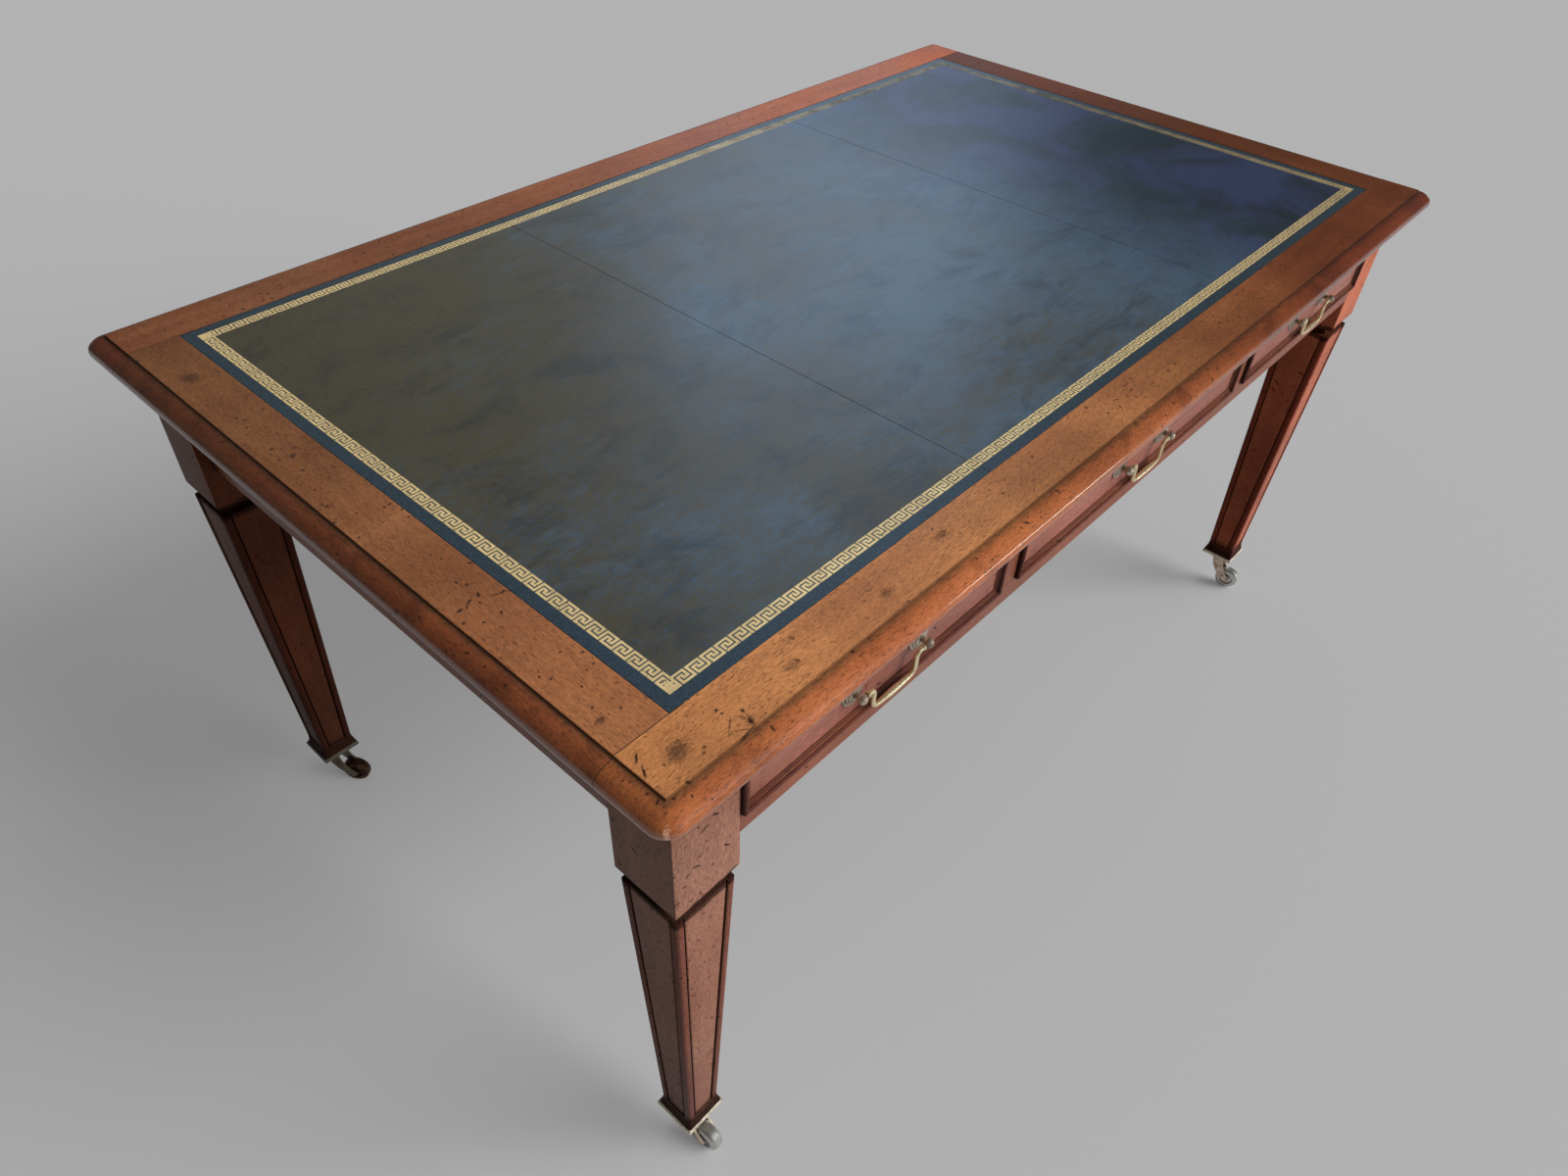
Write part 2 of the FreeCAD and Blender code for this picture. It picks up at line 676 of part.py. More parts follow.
def make_drawer_ways():
    """Runners under the drawers, guides beside them and kickers over them."""
    run = ("bearer_y", "rail_back_y")
    under = ("opening_bottom - runner_thick", "opening_bottom")
    over = ("opening_top", "opening_top + kicker_thick")
    at_divider = ("divider_in_x - runner_width", "divider_out_x + runner_width")
    at_leg = ("leg_inner_x - runner_width", "leg_inner_x")
    for name, level in (("drawer_runners", under), ("drawer_kickers", over)):
        shared = box(name + "_shared", at_divider, run, level)
        outer = box(name + "_outer", at_leg, run, level)
        both_sides(name, both_ends(name + "_shared", shared) + both_ends(name + "_outer", outer))
    beside = ("opening_bottom", "opening_bottom + guide_height")
    shared = box("guide_shared", ("divider_in_x", "divider_out_x"), run, beside)
    outer = box("guide_outer", ("leg_inner_x", "apron_inner_x"), ("bearer_y", "leg_inner_y"),
                ("opening_bottom - runner_thick", "opening_bottom + guide_height"))
    both_sides("drawer_guides", both_ends("guide_shared", shared) + both_ends("guide_outer", outer))


# ---------------------------------------------------------------- drawers

def tail_loop(index, order):
    """One dovetail that points at the drawer's face; order -1 travels it from the top."""
    middle = f"drawer_under_gap + drawer_tall * ({index} + 0.5) / {TAILS}"
    root, tip = "tail_root / 2", "tail_root / 2 + tail_flare"
    return [("face_back", f"{middle} - {root}"),
            ("face_back - lap_length", f"{middle} - {tip}"),
            ("face_back - lap_length", f"{middle} + {tip}"),
            ("face_back", f"{middle} + {root}")][::order]


def drawer_face(kind, half):
    """Face board with dovetail sockets, bottom groove and holes for the handle's shanks."""
    board = body(f"{kind}_face")
    outline = draw(board, f"{kind}_face_outline", "XZ",
                   [rectangle((minus(half), half), ("drawer_under_gap", "drawer_top"))],
                   shift={"z": minus("face_back")})
    extrude(board, "Pad", f"{kind}_face_pad", outline, "face_thick")
    sockets = [tail_loop(index, 1) for index in range(TAILS)]
    for side, place in (("right", f"{half} - side_thick"), ("left", f"-({half})")):
        profile = draw(board, f"{kind}_{side}_sockets", "YZ", sockets, shift={"z": place})
        extrude(board, "Pocket", f"{kind}_{side}_socket_cut", profile, "side_thick", reverse=True)
    groove = draw(board, f"{kind}_face_groove", "YZ",
                  [rectangle(("face_back - groove_depth", "face_back + groove_depth"),
                             ("bottom_low", "bottom_high"))])
    extrude(board, "Pocket", f"{kind}_face_groove_cut", groove,
            f"2 * ({half} - side_thick + groove_depth)", symmetric=True)
    holes = [(x, "post_z", "shank_hole_radius") for x in ("post_x", minus("post_x"))]
    shanks = draw(board, f"{kind}_shank_circles", "XZ", circles=holes)
    cut_through(board, f"{kind}_shank_holes", shanks)
    return board


def drawer_side(kind, half):
    """Right side board with its dovetails and the groove for the bottom."""
    side = body(f"{kind}_side")
    outline = [("drawer_end", "drawer_under_gap"), ("drawer_end", "drawer_top"),
               ("face_back", "drawer_top")]
    for index in reversed(range(TAILS)):
        outline += tail_loop(index, -1)
    outline.append(("face_back", "drawer_under_gap"))
    profile = draw(side, f"{kind}_side_outline", "YZ", [outline],
                   shift={"z": f"{half} - side_thick"})
    extrude(side, "Pad", f"{kind}_side_pad", profile, "side_thick")
    groove = draw(side, f"{kind}_side_groove", "YZ",
                  [rectangle(("face_back - groove_depth", "drawer_end"),
                             ("bottom_low", "bottom_high"))])
    extrude(side, "Pocket", f"{kind}_side_groove_cut", groove,
            f"2 * ({half} - side_thick + groove_depth)", symmetric=True)
    return side


def drawer_box(kind, half):
    """Two sides, back and bottom of a drawer."""
    side = drawer_side(kind, half)
    inner = f"{half} - side_thick"
    back = box(f"{kind}_back", (minus(inner), inner), ("drawer_end - back_thick", "drawer_end"),
               ("bottom_high", "drawer_top - back_drop"))
    wide = f"{inner} + groove_depth"
    bottom = box(f"{kind}_bottom", (minus(wide), wide),
                 ("face_back - groove_depth", "drawer_end"), ("bottom_low", "bottom_high"))
    return group(f"{kind}_box", [side, mirrored(f"{kind}_side_left", side, (1, 0, 0)),
                                 back, bottom])


def moulding_section(edge):
    """Cove, quirk and bead of the strip whose outer side lies on the line x = edge."""
    def inward(distance):
        return f"{edge} - ({distance})"
    bead, quirk_end = "2 * bead_radius", "2 * bead_radius + quirk_width"
    spring = "bead_radius - moulding_proud"
    return [(edge, "face_recess"),
            (inward("moulding_width"), "face_recess"),
            (inward("moulding_width"), minus("cove_low"), "cove_radius", RIGHT),
            (inward(quirk_end), minus("cove_high")),
            (inward(quirk_end), minus("quirk_proud")),
            (inward(bead), minus("quirk_proud")),
            (inward(bead), spring, "bead_radius", LEFT),
            (inward("bead_radius"), minus("moulding_proud"), "bead_radius", LEFT),
            (edge, spring)]


def swapped(corners):
    """The same loop with its two coordinates exchanged."""
    return [(c[1], c[0]) + ((c[2], -c[3]) if len(c) > 2 else ()) for c in corners]


def mitre_waste(edge, level, up, across):
    """Triangle beyond the mitre line that runs inwards from (edge, level).

    up is 1 at the top of the frame and -1 at its foot; across picks the waste of an
    upright strip (True) or of a level one (False).
    """
    reach = "2 * moulding_width"
    out, inner = f"{edge} + {reach}", f"{edge} - {reach}"
    beyond, within = f"{level} + {up} * {reach}", f"{level} - {up} * {reach}"
    spare = (inner, beyond) if across else (out, within)
    return [(out, beyond), spare, (inner, within)]


def upright_strip(kind, half):
    """Right strip of the moulding, mitred at both ends."""
    strip = body(f"{kind}_upright_strip")
    section = draw(strip, f"{kind}_upright_section", "XY", [moulding_section(half)],
                   shift={"z": "(drawer_top + drawer_under_gap) / 2"})
    extrude(strip, "Pad", f"{kind}_upright_pad", section, "drawer_tall", symmetric=True)
    ends = [mitre_waste(half, "drawer_top", 1, True),
            mitre_waste(half, "drawer_under_gap", -1, True)]
    cut = draw(strip, f"{kind}_upright_mitres", "XZ", ends)
    cut_through(strip, f"{kind}_upright_cut", cut)
    return strip


def level_strip(kind, half):
    """Top strip of the moulding, mitred at both ends."""
    strip = body(f"{kind}_level_strip")
    section = draw(strip, f"{kind}_level_section", "YZ", [swapped(moulding_section("drawer_top"))])
    extrude(strip, "Pad", f"{kind}_level_pad", section, f"2 * ({half})", symmetric=True)
    end = mitre_waste(half, "drawer_top", 1, False)
    cut = draw(strip, f"{kind}_level_mitres", "XZ", [end, flip(end)])
    cut_through(strip, f"{kind}_level_cut", cut)
    return strip


def drawer_moulding(kind, half):
    """Four mitred strips applied round the face."""
    right, top = upright_strip(kind, half), level_strip(kind, half)
    left = mirrored(f"{kind}_left_strip", right, (1, 0, 0))
    foot = mirrored(f"{kind}_foot_strip", top, (0, 0, 1))
    foot.setExpression("Base.z", ex("(drawer_top + drawer_under_gap) / 2"))
    return group(f"{kind}_moulding", [right, left, top, foot])


# ---------------------------------------------------------------- handles

def rose_rings():
    """Stepped, rounded rings of the rose, from the neck out to the drawer face."""
    points = [("neck_radius", f"face_recess - {ROSE_RINGS} * rose_step")]
    for ring in range(ROSE_RINGS, 0, -1):
        level = f"face_recess - {ring} * rose_step"
        edge = f"rose_radius - {ring - 1} * rose_ring"
        points.append((f"{edge} - rose_step", level, "rose_step", LEFT))
        points.append((edge, f"{level} + rose_step"))
    return points


def handle_post():
    """Turned post of the right side: threaded shank, ringed rose, neck and bored ball."""
    post = body("handle_post")
    shank_end = "face_back + nut_thick + thread_end"
    profile = [("0", shank_end),
               ("0", "-(ball_out + ball_radius)", "ball_radius", LEFT),
               ("neck_radius", minus("ball_joint"))] + rose_rings()
    profile += [("shank_radius", "face_recess"), ("shank_radius", shank_end)]
    turning = draw(post, "post_profile", "XY", [profile], shift={"x": "post_x", "z": "post_z"})
    revolve(post, "post_turned", turning, "V_Axis")
    hole = draw(post, "ball_hole_circle", "YZ", shift={"z": "boss_start"},
                circles=[(minus("ball_out"), "post_z", "ball_hole_radius")])
    extrude(post, "Pocket", "ball_hole", hole, "bail_side_gap + pin_in_ball", reverse=True)
    return post


def handle_nut():
    """Square nut on the shank inside the drawer."""
    nut = body("handle_nut")
    half = "nut_width / 2"
    outline = draw(nut, "nut_outline", "XZ", shift={"z": "-(face_back + nut_thick)"},
                   loops=[rectangle((f"post_x - {half}", f"post_x + {half}"),
                                    (f"post_z - {half}", f"post_z + {half}"))],
                   circles=[("post_x", "post_z", "shank_radius + running_gap")])
    extrude(nut, "Pad", "nut_pad", outline, "nut_thick")
    return nut


def handle_posts():
    """Both posts of a handle with their nuts."""
    pieces = []
    for name, piece in (("post", handle_post()), ("nut", handle_nut())):
        pieces += [piece, mirrored(f"handle_{name}_left", piece, (1, 0, 0))]
    return group("handle_posts", pieces)


def bail_spine():
    """Centre line of the bail from one boss to the other, about its hinge line."""
    right = [("boss_end + boss_length / 2", "0"),
             ("neck_x + neck_bend", "0", "neck_bend", LEFT),
             ("neck_x", minus("neck_bend")),
             ("neck_x", "grip_bend - grip_drop", "grip_bend", RIGHT),
             ("grip_x", minus("grip_drop"))]
    left = [("-(grip_x)", minus("grip_drop"), "grip_bend", RIGHT),
            ("-(neck_x)", "grip_bend - grip_drop"),
            ("-(neck_x)", minus("neck_bend"), "neck_bend", LEFT),
            ("-(neck_x + neck_bend)", "0"),
            ("-(boss_end + boss_length / 2)", "0")]
    return right + left


def bail_boss():
    """Half section of the right boss with the pin that turns in the ball."""
    tip = "boss_start + pin_in_ball"
    return [(tip, "0"), ("boss_end", "0"),
            ("boss_end", "bail_radius", "boss_radius", RIGHT),
            ("boss_end + boss_length / 2", "boss_radius", "boss_radius", RIGHT),
            ("boss_start", "bail_pin_radius"),
            (tip, "bail_pin_radius")]


def handle_bail():
    """Swan-neck bail hanging from the balls."""
    bail = body("handle_bail")
    hinge = {"y": "post_z", "z": "ball_out"}
    spine = draw(bail, "bail_spine", "XZ", shift=hinge)
    add_loop(spine, bail_spine(), closed=False)
    wire = draw(bail, "bail_wire_circle", "YZ", shift={"z": "boss_end + boss_length / 2"},
                circles=[(minus("ball_out"), "post_z", "bail_radius")])
    pipe = bail.newObject("PartDesign::AdditivePipe", "bail_wire")
    pipe.Profile = wire
    pipe.Spine = (spine, [f"Edge{index + 1}" for index in range(spine.GeometryCount)])
    bosses = draw(bail, "bail_boss_sections", "XZ", [bail_boss(), flip(bail_boss())], shift=hinge)
    revolve(bail, "bail_bosses", bosses, "H_Axis")
    section = [("-(grip_x)", "0"), ("grip_x", "0"), ("grip_x", "bail_radius", "barrel_radius", LEFT),
               ("-(grip_x)", "bail_radius")]
    grip = draw(bail, "grip_section", "XZ", [section],
                shift={"y": "post_z - grip_drop", "z": "ball_out"})
    revolve(bail, "bail_grip", grip, "H_Axis")
    return bail


def make_drawers():
    """Three drawers on each side of the desk, all from one middle and one side pattern."""
    posts, bail = handle_posts(), handle_bail()
    patterns = {}
    for kind, opening in (("middle", "middle_opening"), ("side", "side_opening")):
        half = f"({opening} / 2 - drawer_side_gap)"
        patterns[kind] = (drawer_face(kind, half), drawer_moulding(kind, half),
                          drawer_box(kind, half))
    columns = (("left", "side", minus("side_drawer_x")), ("middle", "middle", "0"),
               ("right", "side", "side_drawer_x"))
    for row, y, angle in (("front", minus("frieze_y"), "0"), ("back", "frieze_y", "180")):
        for column, kind, x in columns:
            face, moulding, carcase = patterns[kind]
            pieces = (("drawer_face", face), ("drawer_moulding", moulding),
                      ("drawer_box", carcase), ("handle_posts", posts), ("handle_bail", bail))
            for name, piece in pieces:
                keep(copy_of(f"{row}_{column}_{name}", piece, (x, y, "opening_bottom"), angle))


# ---------------------------------------------------------------- castors

def fork_outline():
    """Side of the fork: a swept arm from the crown to the round hub end."""
    top = "fork_top_width / 2"
    return [(minus(top), "crown_top", "fork_front_radius", LEFT),
            ("castor_trail - hub_cos", "wheel_radius - hub_sin", "hub_end_radius", LEFT),
            ("castor_trail + hub_sin", "wheel_radius - hub_cos", "hub_end_radius", LEFT),
            ("castor_trail + hub_cos", "wheel_radius + hub_sin", "fork_back_radius", RIGHT),
            (top, "crown_top")]


def axle_section():
    """Half section of the axle with its two riveted heads."""
    end = "fork_width / 2"
    return [("0", f"-({end} + rivet_dome)"),
            ("rivet_radius", f"-({end})"), ("axle_radius", f"-({end})"),
            ("axle_radius", end), ("rivet_radius", end),
            ("0", f"{end} + rivet_dome")]


def castor_fork():
    """Fork with its crown, swivel head, kingpin and riveted axle, trailing towards +X."""
    fork = body("castor_fork")
    side = draw(fork, "fork_side", "XZ", [fork_outline()])
    extrude(fork, "Pad", "fork_blank", side, "fork_width", symmetric=True)
    gap = rectangle((minus("fork_gap / 2"), "fork_gap / 2"), ("0", "slot_top"))
    slot = draw(fork, "fork_slot_outline", "YZ", [gap])
    cut_through(fork, "fork_slot", slot)
    head = draw(fork, "head_circle", "XY", circles=[("0", "0", "head_radius")],
                shift={"z": "crown_top"})
    extrude(fork, "Pad", "swivel_head", head, "head_thick")
    pin = draw(fork, "kingpin_circle", "XY", circles=[("0", "0", "kingpin_radius")],
               shift={"z": "fork_top"})
    extrude(fork, "Pad", "kingpin", pin,
            "head_gap + plate_thick + kingpin_rise - 2 * kingpin_play")
    axle = draw(fork, "axle_profile", "XY", [axle_section()],
                shift={"x": "castor_trail", "z": "wheel_radius"})
    revolve(fork, "axle", axle, "V_Axis")
    return fork


def wheel_side():
    """Half section of one side of the wheel: bore, hub, dish, rim and round of the tread."""
    face, rim = "wheel_width / 2", "wheel_radius - rim_width"
    dish = f"{face} - dish_depth"
    return [(face, "wheel_bore"), (face, "hub_radius"), (dish, "hub_radius"),
            (dish, f"{rim} - dish_depth / 2"), (face, rim),
            (face, "wheel_radius - wheel_round", "wheel_round", LEFT),
            (f"{face} - wheel_round", "wheel_radius")]


def castor_wheel():
    """Wheel with a rounded tread, dished sides and a hub, about its own middle."""
    wheel = body("castor_wheel")
    profile = draw(wheel, "wheel_profile", "YZ", [wheel_side() + flip(wheel_side())])
    revolve(wheel, "wheel_turned", profile, "H_Axis")
    return wheel


def castor_plate():
    """Square top plate with the kingpin's bearing and four counterbored screw holes."""
    plate = body("castor_plate")
    half = "plate_size / 2"
    outline = draw(plate, "plate_outline", "XY", shift={"z": "castor_height"},
                   loops=[rectangle((minus(half), half), (minus(half), half))])
    pad = extrude(plate, "Pad", "plate_pad", outline, "plate_thick")
    DOC.recompute()
    middle = value("castor_height + plate_thick / 2")
    rim = edges_where(pad, lambda edge: edge.BoundBox.ZMin > middle)
    dress(plate, "Chamfer", "plate_bevel", pad, rim, "plate_chamfer")
    bore = draw(plate, "plate_bore_circle", "XY", circles=[("0", "0", "kingpin_bore")])
    cut_through(plate, "plate_bore", bore)
    holes = draw(plate, "plate_hole_circles", "XY",
                 circles=screw_circles("screw_radius + running_gap"))
    cut_through(plate, "plate_holes", holes)
    sinks = draw(plate, "plate_sink_circles", "XY", shift={"z": "castor_height"},
                 circles=screw_circles("screw_head_radius + screw_gap"))
    extrude(plate, "Pocket", "plate_sinks", sinks, "screw_head_height", reverse=True)
    return plate


def castor_screw():
    """Wood screw of the plate, driven from below; its head lies in the counterbore."""
    screw = body("castor_screw")
    head, tip = "castor_height + screw_head_height", "plate_top + screw_length - screw_gap"
    profile = [("0", "castor_height"), ("screw_head_radius", "castor_height"),
               ("screw_head_radius", head), ("screw_radius", head),
               ("screw_radius", f"{tip} - 2 * screw_radius"), ("0", tip)]
    turning = draw(screw, "screw_profile", "XZ", [profile])
    revolve(screw, "screw_turned", turning, "V_Axis")
    return screw


def make_castors():
    """Plate, screws, fork and wheel at each corner; each castor trails its own way."""
    plate, screw = castor_plate(), castor_screw()
    screws = group("plate_screws", [copy_of(f"screw_{index}", screw, (x, y, "0"))
                                    for index, (x, y, _) in enumerate(screw_circles("0"))])
    fork, wheel = castor_fork(), castor_wheel()
    plates, fixings = [], []
    for corner, x, y in corners():
        place, trail = (x, y, "0"), f"trail_{corner}"
        plates.append(copy_of(f"plate_{corner}", plate, place))
        fixings.append(copy_of(f"screws_{corner}", screws, place))
        keep(copy_of(f"{corner}_castor_fork", fork, place, trail))
        wheel_x = f"{x} + castor_trail * cos({trail} * 1deg)"
        wheel_y = f"{y} + castor_trail * sin({trail} * 1deg)"
        keep(copy_of(f"{corner}_castor_wheel", wheel, (wheel_x, wheel_y, "wheel_radius"), trail))
    keep(group("castor_plates", plates))
    keep(group("castor_screws", fixings))


# ---------------------------------------------------------------- checks and export

def check_document():
    """Stop if a feature failed, a cut removed nothing or a piece has no sound shape."""
    for item in DOC.Objects:
        if {"Invalid", "Error"} & set(item.State):
            raise RuntimeError(f"{item.Name} failed: {item.State}")
        base = getattr(item, "BaseFeature", None)
        if item.TypeId in CUTTING and base is not None:
            if base.Shape.Volume - item.Shape.Volume < LEAST_CUT:
                raise RuntimeError(f"{item.Name} removes nothing")
    for item in NODES:
        shape = Part.getShape(item)
        if shape.isNull() or not shape.isValid():
            raise RuntimeError(f"{item.Label} has no sound shape")


def write_parts():
    """Write each named piece to its own file."""
    os.makedirs("parts", exist_ok=True)
    for item in NODES:
        Part.getShape(item).exportStep(os.path.join("parts", f"{item.Label}.step"))


def main():
    """Build, check and write the desk."""
    make_top()
    make_legs()
    make_frieze()
    make_drawer_ways()
    make_drawers()
    make_castors()
    DOC.recompute()
    check_document()
    write_parts()
    solids = sum(len(Part.getShape(item).Solids) for item in NODES)
    print(f"{len(NODES)} pieces, {solids} solids")


if __name__ == "__main__":
    main()
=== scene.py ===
"""Dresses the partners desk: polished mahogany, a tooled writing hide, brass handles and castors.

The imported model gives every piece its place. This script eases the edges of the timber, lays
the gilt key border on the hide, gives each piece its finish and sets up the studio.
"""

import json
import logging
import math
from dataclasses import dataclass, field
from enum import Enum
from typing import Callable, ClassVar

import bmesh
import bpy
from mathutils import Matrix, Vector

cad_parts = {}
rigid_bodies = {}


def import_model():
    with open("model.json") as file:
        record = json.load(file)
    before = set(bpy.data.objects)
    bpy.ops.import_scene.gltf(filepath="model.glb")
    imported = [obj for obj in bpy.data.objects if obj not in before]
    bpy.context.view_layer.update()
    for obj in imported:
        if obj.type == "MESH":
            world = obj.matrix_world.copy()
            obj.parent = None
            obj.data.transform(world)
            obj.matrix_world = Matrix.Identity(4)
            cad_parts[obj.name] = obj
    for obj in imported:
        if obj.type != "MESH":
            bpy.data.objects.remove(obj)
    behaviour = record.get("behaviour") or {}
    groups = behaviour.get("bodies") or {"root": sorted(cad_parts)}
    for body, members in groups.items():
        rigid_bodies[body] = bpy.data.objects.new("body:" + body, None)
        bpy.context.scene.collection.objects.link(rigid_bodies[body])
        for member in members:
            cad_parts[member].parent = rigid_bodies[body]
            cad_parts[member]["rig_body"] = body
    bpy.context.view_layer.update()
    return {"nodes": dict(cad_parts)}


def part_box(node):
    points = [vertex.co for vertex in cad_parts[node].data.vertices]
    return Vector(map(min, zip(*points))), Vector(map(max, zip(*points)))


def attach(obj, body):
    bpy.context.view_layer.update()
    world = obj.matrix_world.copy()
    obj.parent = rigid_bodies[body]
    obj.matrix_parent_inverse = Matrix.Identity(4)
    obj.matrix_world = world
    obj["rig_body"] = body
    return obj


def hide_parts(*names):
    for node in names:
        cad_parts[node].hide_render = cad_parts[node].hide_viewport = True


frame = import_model()

log = logging.getLogger("partners_desk")

Colour = tuple[float, float, float]
Node = bpy.types.Node
Socket = bpy.types.NodeSocket
Sockets = dict[str, Socket]
BMesh = bmesh.types.BMesh

MM = 0.001
WHITE: Colour = (1.0, 1.0, 1.0)
POLISH_IOR = 1.5
MERGED = 2e-6  # metres: vertices nearer than this are one
FLAT = math.radians(0.4)  # faces that turn less than this become one
CREASE = 34.0  # degrees: edges sharper than this are shaded sharp
EASED_ABOVE = math.radians(38)  # edges that turn more than this are rounded
SIDES = ("front", "back")
DRAWERS = tuple(f"{side}_{place}" for side in SIDES for place in ("left", "middle", "right"))
CORNERS = tuple(f"{side}_{end}" for side in SIDES for end in ("left", "right"))


def shade(red: int, green: int, blue: int) -> Colour:
    """Turns a screen colour, 0 to 255 a channel, into the linear values that shaders take."""
    return tuple(
        c / 12.92 if c <= 0.04045 else ((c + 0.055) / 1.055) ** 2.4
        for c in (red / 255, green / 255, blue / 255)
    )


class Grain(Enum):
    """Which way the timber runs in a piece: the turn that brings that way onto X."""

    ALONG_X = (0.0, 0.0, 0.0)
    ALONG_Y = (0.0, 0.0, -math.pi / 2)
    ALONG_Z = (0.0, math.pi / 2, 0.0)


# -------- shader node helpers


class Graph:
    """Lays nodes into one node tree and joins them."""

    def __init__(self, tree: bpy.types.NodeTree) -> None:
        """Keeps the tree that the nodes go into."""
        self.tree = tree

    @classmethod
    def fresh(cls, owner: bpy.types.ID) -> "Graph":
        """Empties a material's or a world's node tree and opens it."""
        owner.use_nodes = True
        owner.node_tree.nodes.clear()
        return cls(owner.node_tree)

    def add(self, kind: str, inputs: dict | None = None, **settings) -> Node:
        """Adds one node.

        Args:
            kind: the node's type name without "ShaderNode".
            inputs: values or sockets by input name or number.
            settings: properties of the node.

        Returns:
            The new node.
        """
        node = self.tree.nodes.new("ShaderNode" + kind)
        for key, value in settings.items():
            setattr(node, key, value)
        for key, value in (inputs or {}).items():
            self.put(node.inputs[key], value)
        return node

    def put(self, socket: Socket, value: object) -> None:
        """Joins a socket to an input, or sets the input's own value."""
        if isinstance(value, bpy.types.NodeSocket):
            self.tree.links.new(value, socket)
        elif isinstance(value, tuple) and len(value) == 3 and socket.type == "RGBA":
            socket.default_value = (*value, 1.0)
        else:
            socket.default_value = value

    def feed(self, node: Node, **values: object) -> None:
        """Puts values into inputs by name, with an underscore for each blank of the name."""
        for key, value in values.items():
            self.put(node.inputs[key.replace("_", " ")], value)

    def math(self, operation: str, *values: object, clamp: bool = False) -> Socket:
        """Does one sum on plain numbers or sockets and returns its result."""
        inputs = dict(enumerate(values))
        return self.add("Math", inputs, operation=operation, use_clamp=clamp).outputs[0]

    def times(self, value: object, factor: object) -> Socket:
        """Multiplies two plain values."""
        return self.math("MULTIPLY", value, factor)

    def line(self, value: object, slope: object, start: object, clamp: bool = False) -> Socket:
        """Returns a value times a slope, plus a start."""
        return self.math("MULTIPLY_ADD", value, slope, start, clamp=clamp)

    def vector(self, operation: str, *values: object) -> Socket:
        """Does one sum on vectors and returns its result, a vector or a plain value."""
        keys = (0, "Scale") if operation == "SCALE" else (0, 1)
        node = self.add("VectorMath", dict(zip(keys, values)), operation=operation)
        return node.outputs["Value" if operation in ("DOT_PRODUCT", "LENGTH") else "Vector"]

    def stretch(self, vector: object, *factors: float) -> Socket:
        """Multiplies a vector's three parts."""
        return self.vector("MULTIPLY", vector, factors)

    def parts(self, vector: object) -> tuple[Socket, ...]:
        """Splits a vector into its three parts."""
        return tuple(self.add("SeparateXYZ", {0: vector}).outputs)

    def mix(self, factor: object, low: object, high: object, blend: str = "MIX") -> Socket:
        """Mixes two colours by a factor and returns the result."""
        node = self.add("Mix", data_type="RGBA", blend_type=blend)
        for key, value in ((0, factor), (6, low), (7, high)):
            self.put(node.inputs[key], value)
        return node.outputs[2]

    def dye(self, factor: object, colour: object, by: Colour) -> Socket:
        """Mixes a colour with itself times another."""
        return self.mix(factor, colour, self.mix(1.0, colour, by, "MULTIPLY"))

    def cover(self, colour: object, tone: object, mask: object, share: object) -> Socket:
        """Lays a tone over a colour by a share of a mask."""
        return self.mix(self.times(mask, share), colour, tone)

    def ease(self, value: object, low: float, high: float, out: tuple = (0.0, 1.0)) -> Socket:
        """Brings a value from one range into another with a soft start and end."""
        inputs = {0: value, 1: low, 2: high, 3: out[0], 4: out[1]}
        return self.add("MapRange", inputs, interpolation_type="SMOOTHSTEP").outputs[0]

    def noise(self, vector: object, scale: float, detail: float = 3.0, rough: float = 0.55,
              bend: float = 0.0) -> Socket:
        """Adds a noise pattern and returns its value."""
        inputs = {"Vector": vector, "Scale": scale, "Detail": detail, "Roughness": rough,
                  "Distortion": bend}
        return self.add("TexNoise", inputs).outputs[0]

    def bump(self, height: Socket, depth: float) -> Socket:
        """Returns the normal over a height in units of depth, in metres."""
        return self.add("Bump", {"Height": height, "Distance": depth}).outputs[0]

    def group(self, tree: bpy.types.NodeTree, **inputs: object) -> Sockets:
        """Places a shared effect with its own values and returns its outputs."""
        node = self.add("Group", node_tree=tree)
        self.feed(node, **inputs)
        return node.outputs

    def place(self) -> Socket:
        """Returns the object coordinates."""
        return self.add("TexCoord").outputs["Object"]


def effect(name: str, takes: dict[str, float | None],
           fill: Callable[[Graph, Sockets], Sockets]) -> bpy.types.NodeTree:
    """Builds one shared shader node group.

    Args:
        name: the group's name.
        takes: input name to its default; a vector has none.
        fill: lays the nodes, given the graph and the input sockets, and returns the outputs.

    Returns:
        The node group.
    """
    tree = bpy.data.node_groups.new(name, "ShaderNodeTree")
    for label, start in takes.items():
        kind = "Vector" if start is None else "Float"
        socket = tree.interface.new_socket(label, in_out="INPUT", socket_type=f"NodeSocket{kind}")
        if start is not None:
            socket.default_value = start
    source = tree.nodes.new("NodeGroupInput")
    made = fill(Graph(tree), {label: source.outputs[label] for label in takes})
    for label in made:
        tree.interface.new_socket(label, in_out="OUTPUT", socket_type="NodeSocketFloat")
    sink = tree.nodes.new("NodeGroupOutput")
    for label, socket in made.items():
        tree.links.new(socket, sink.inputs[label])
    return tree


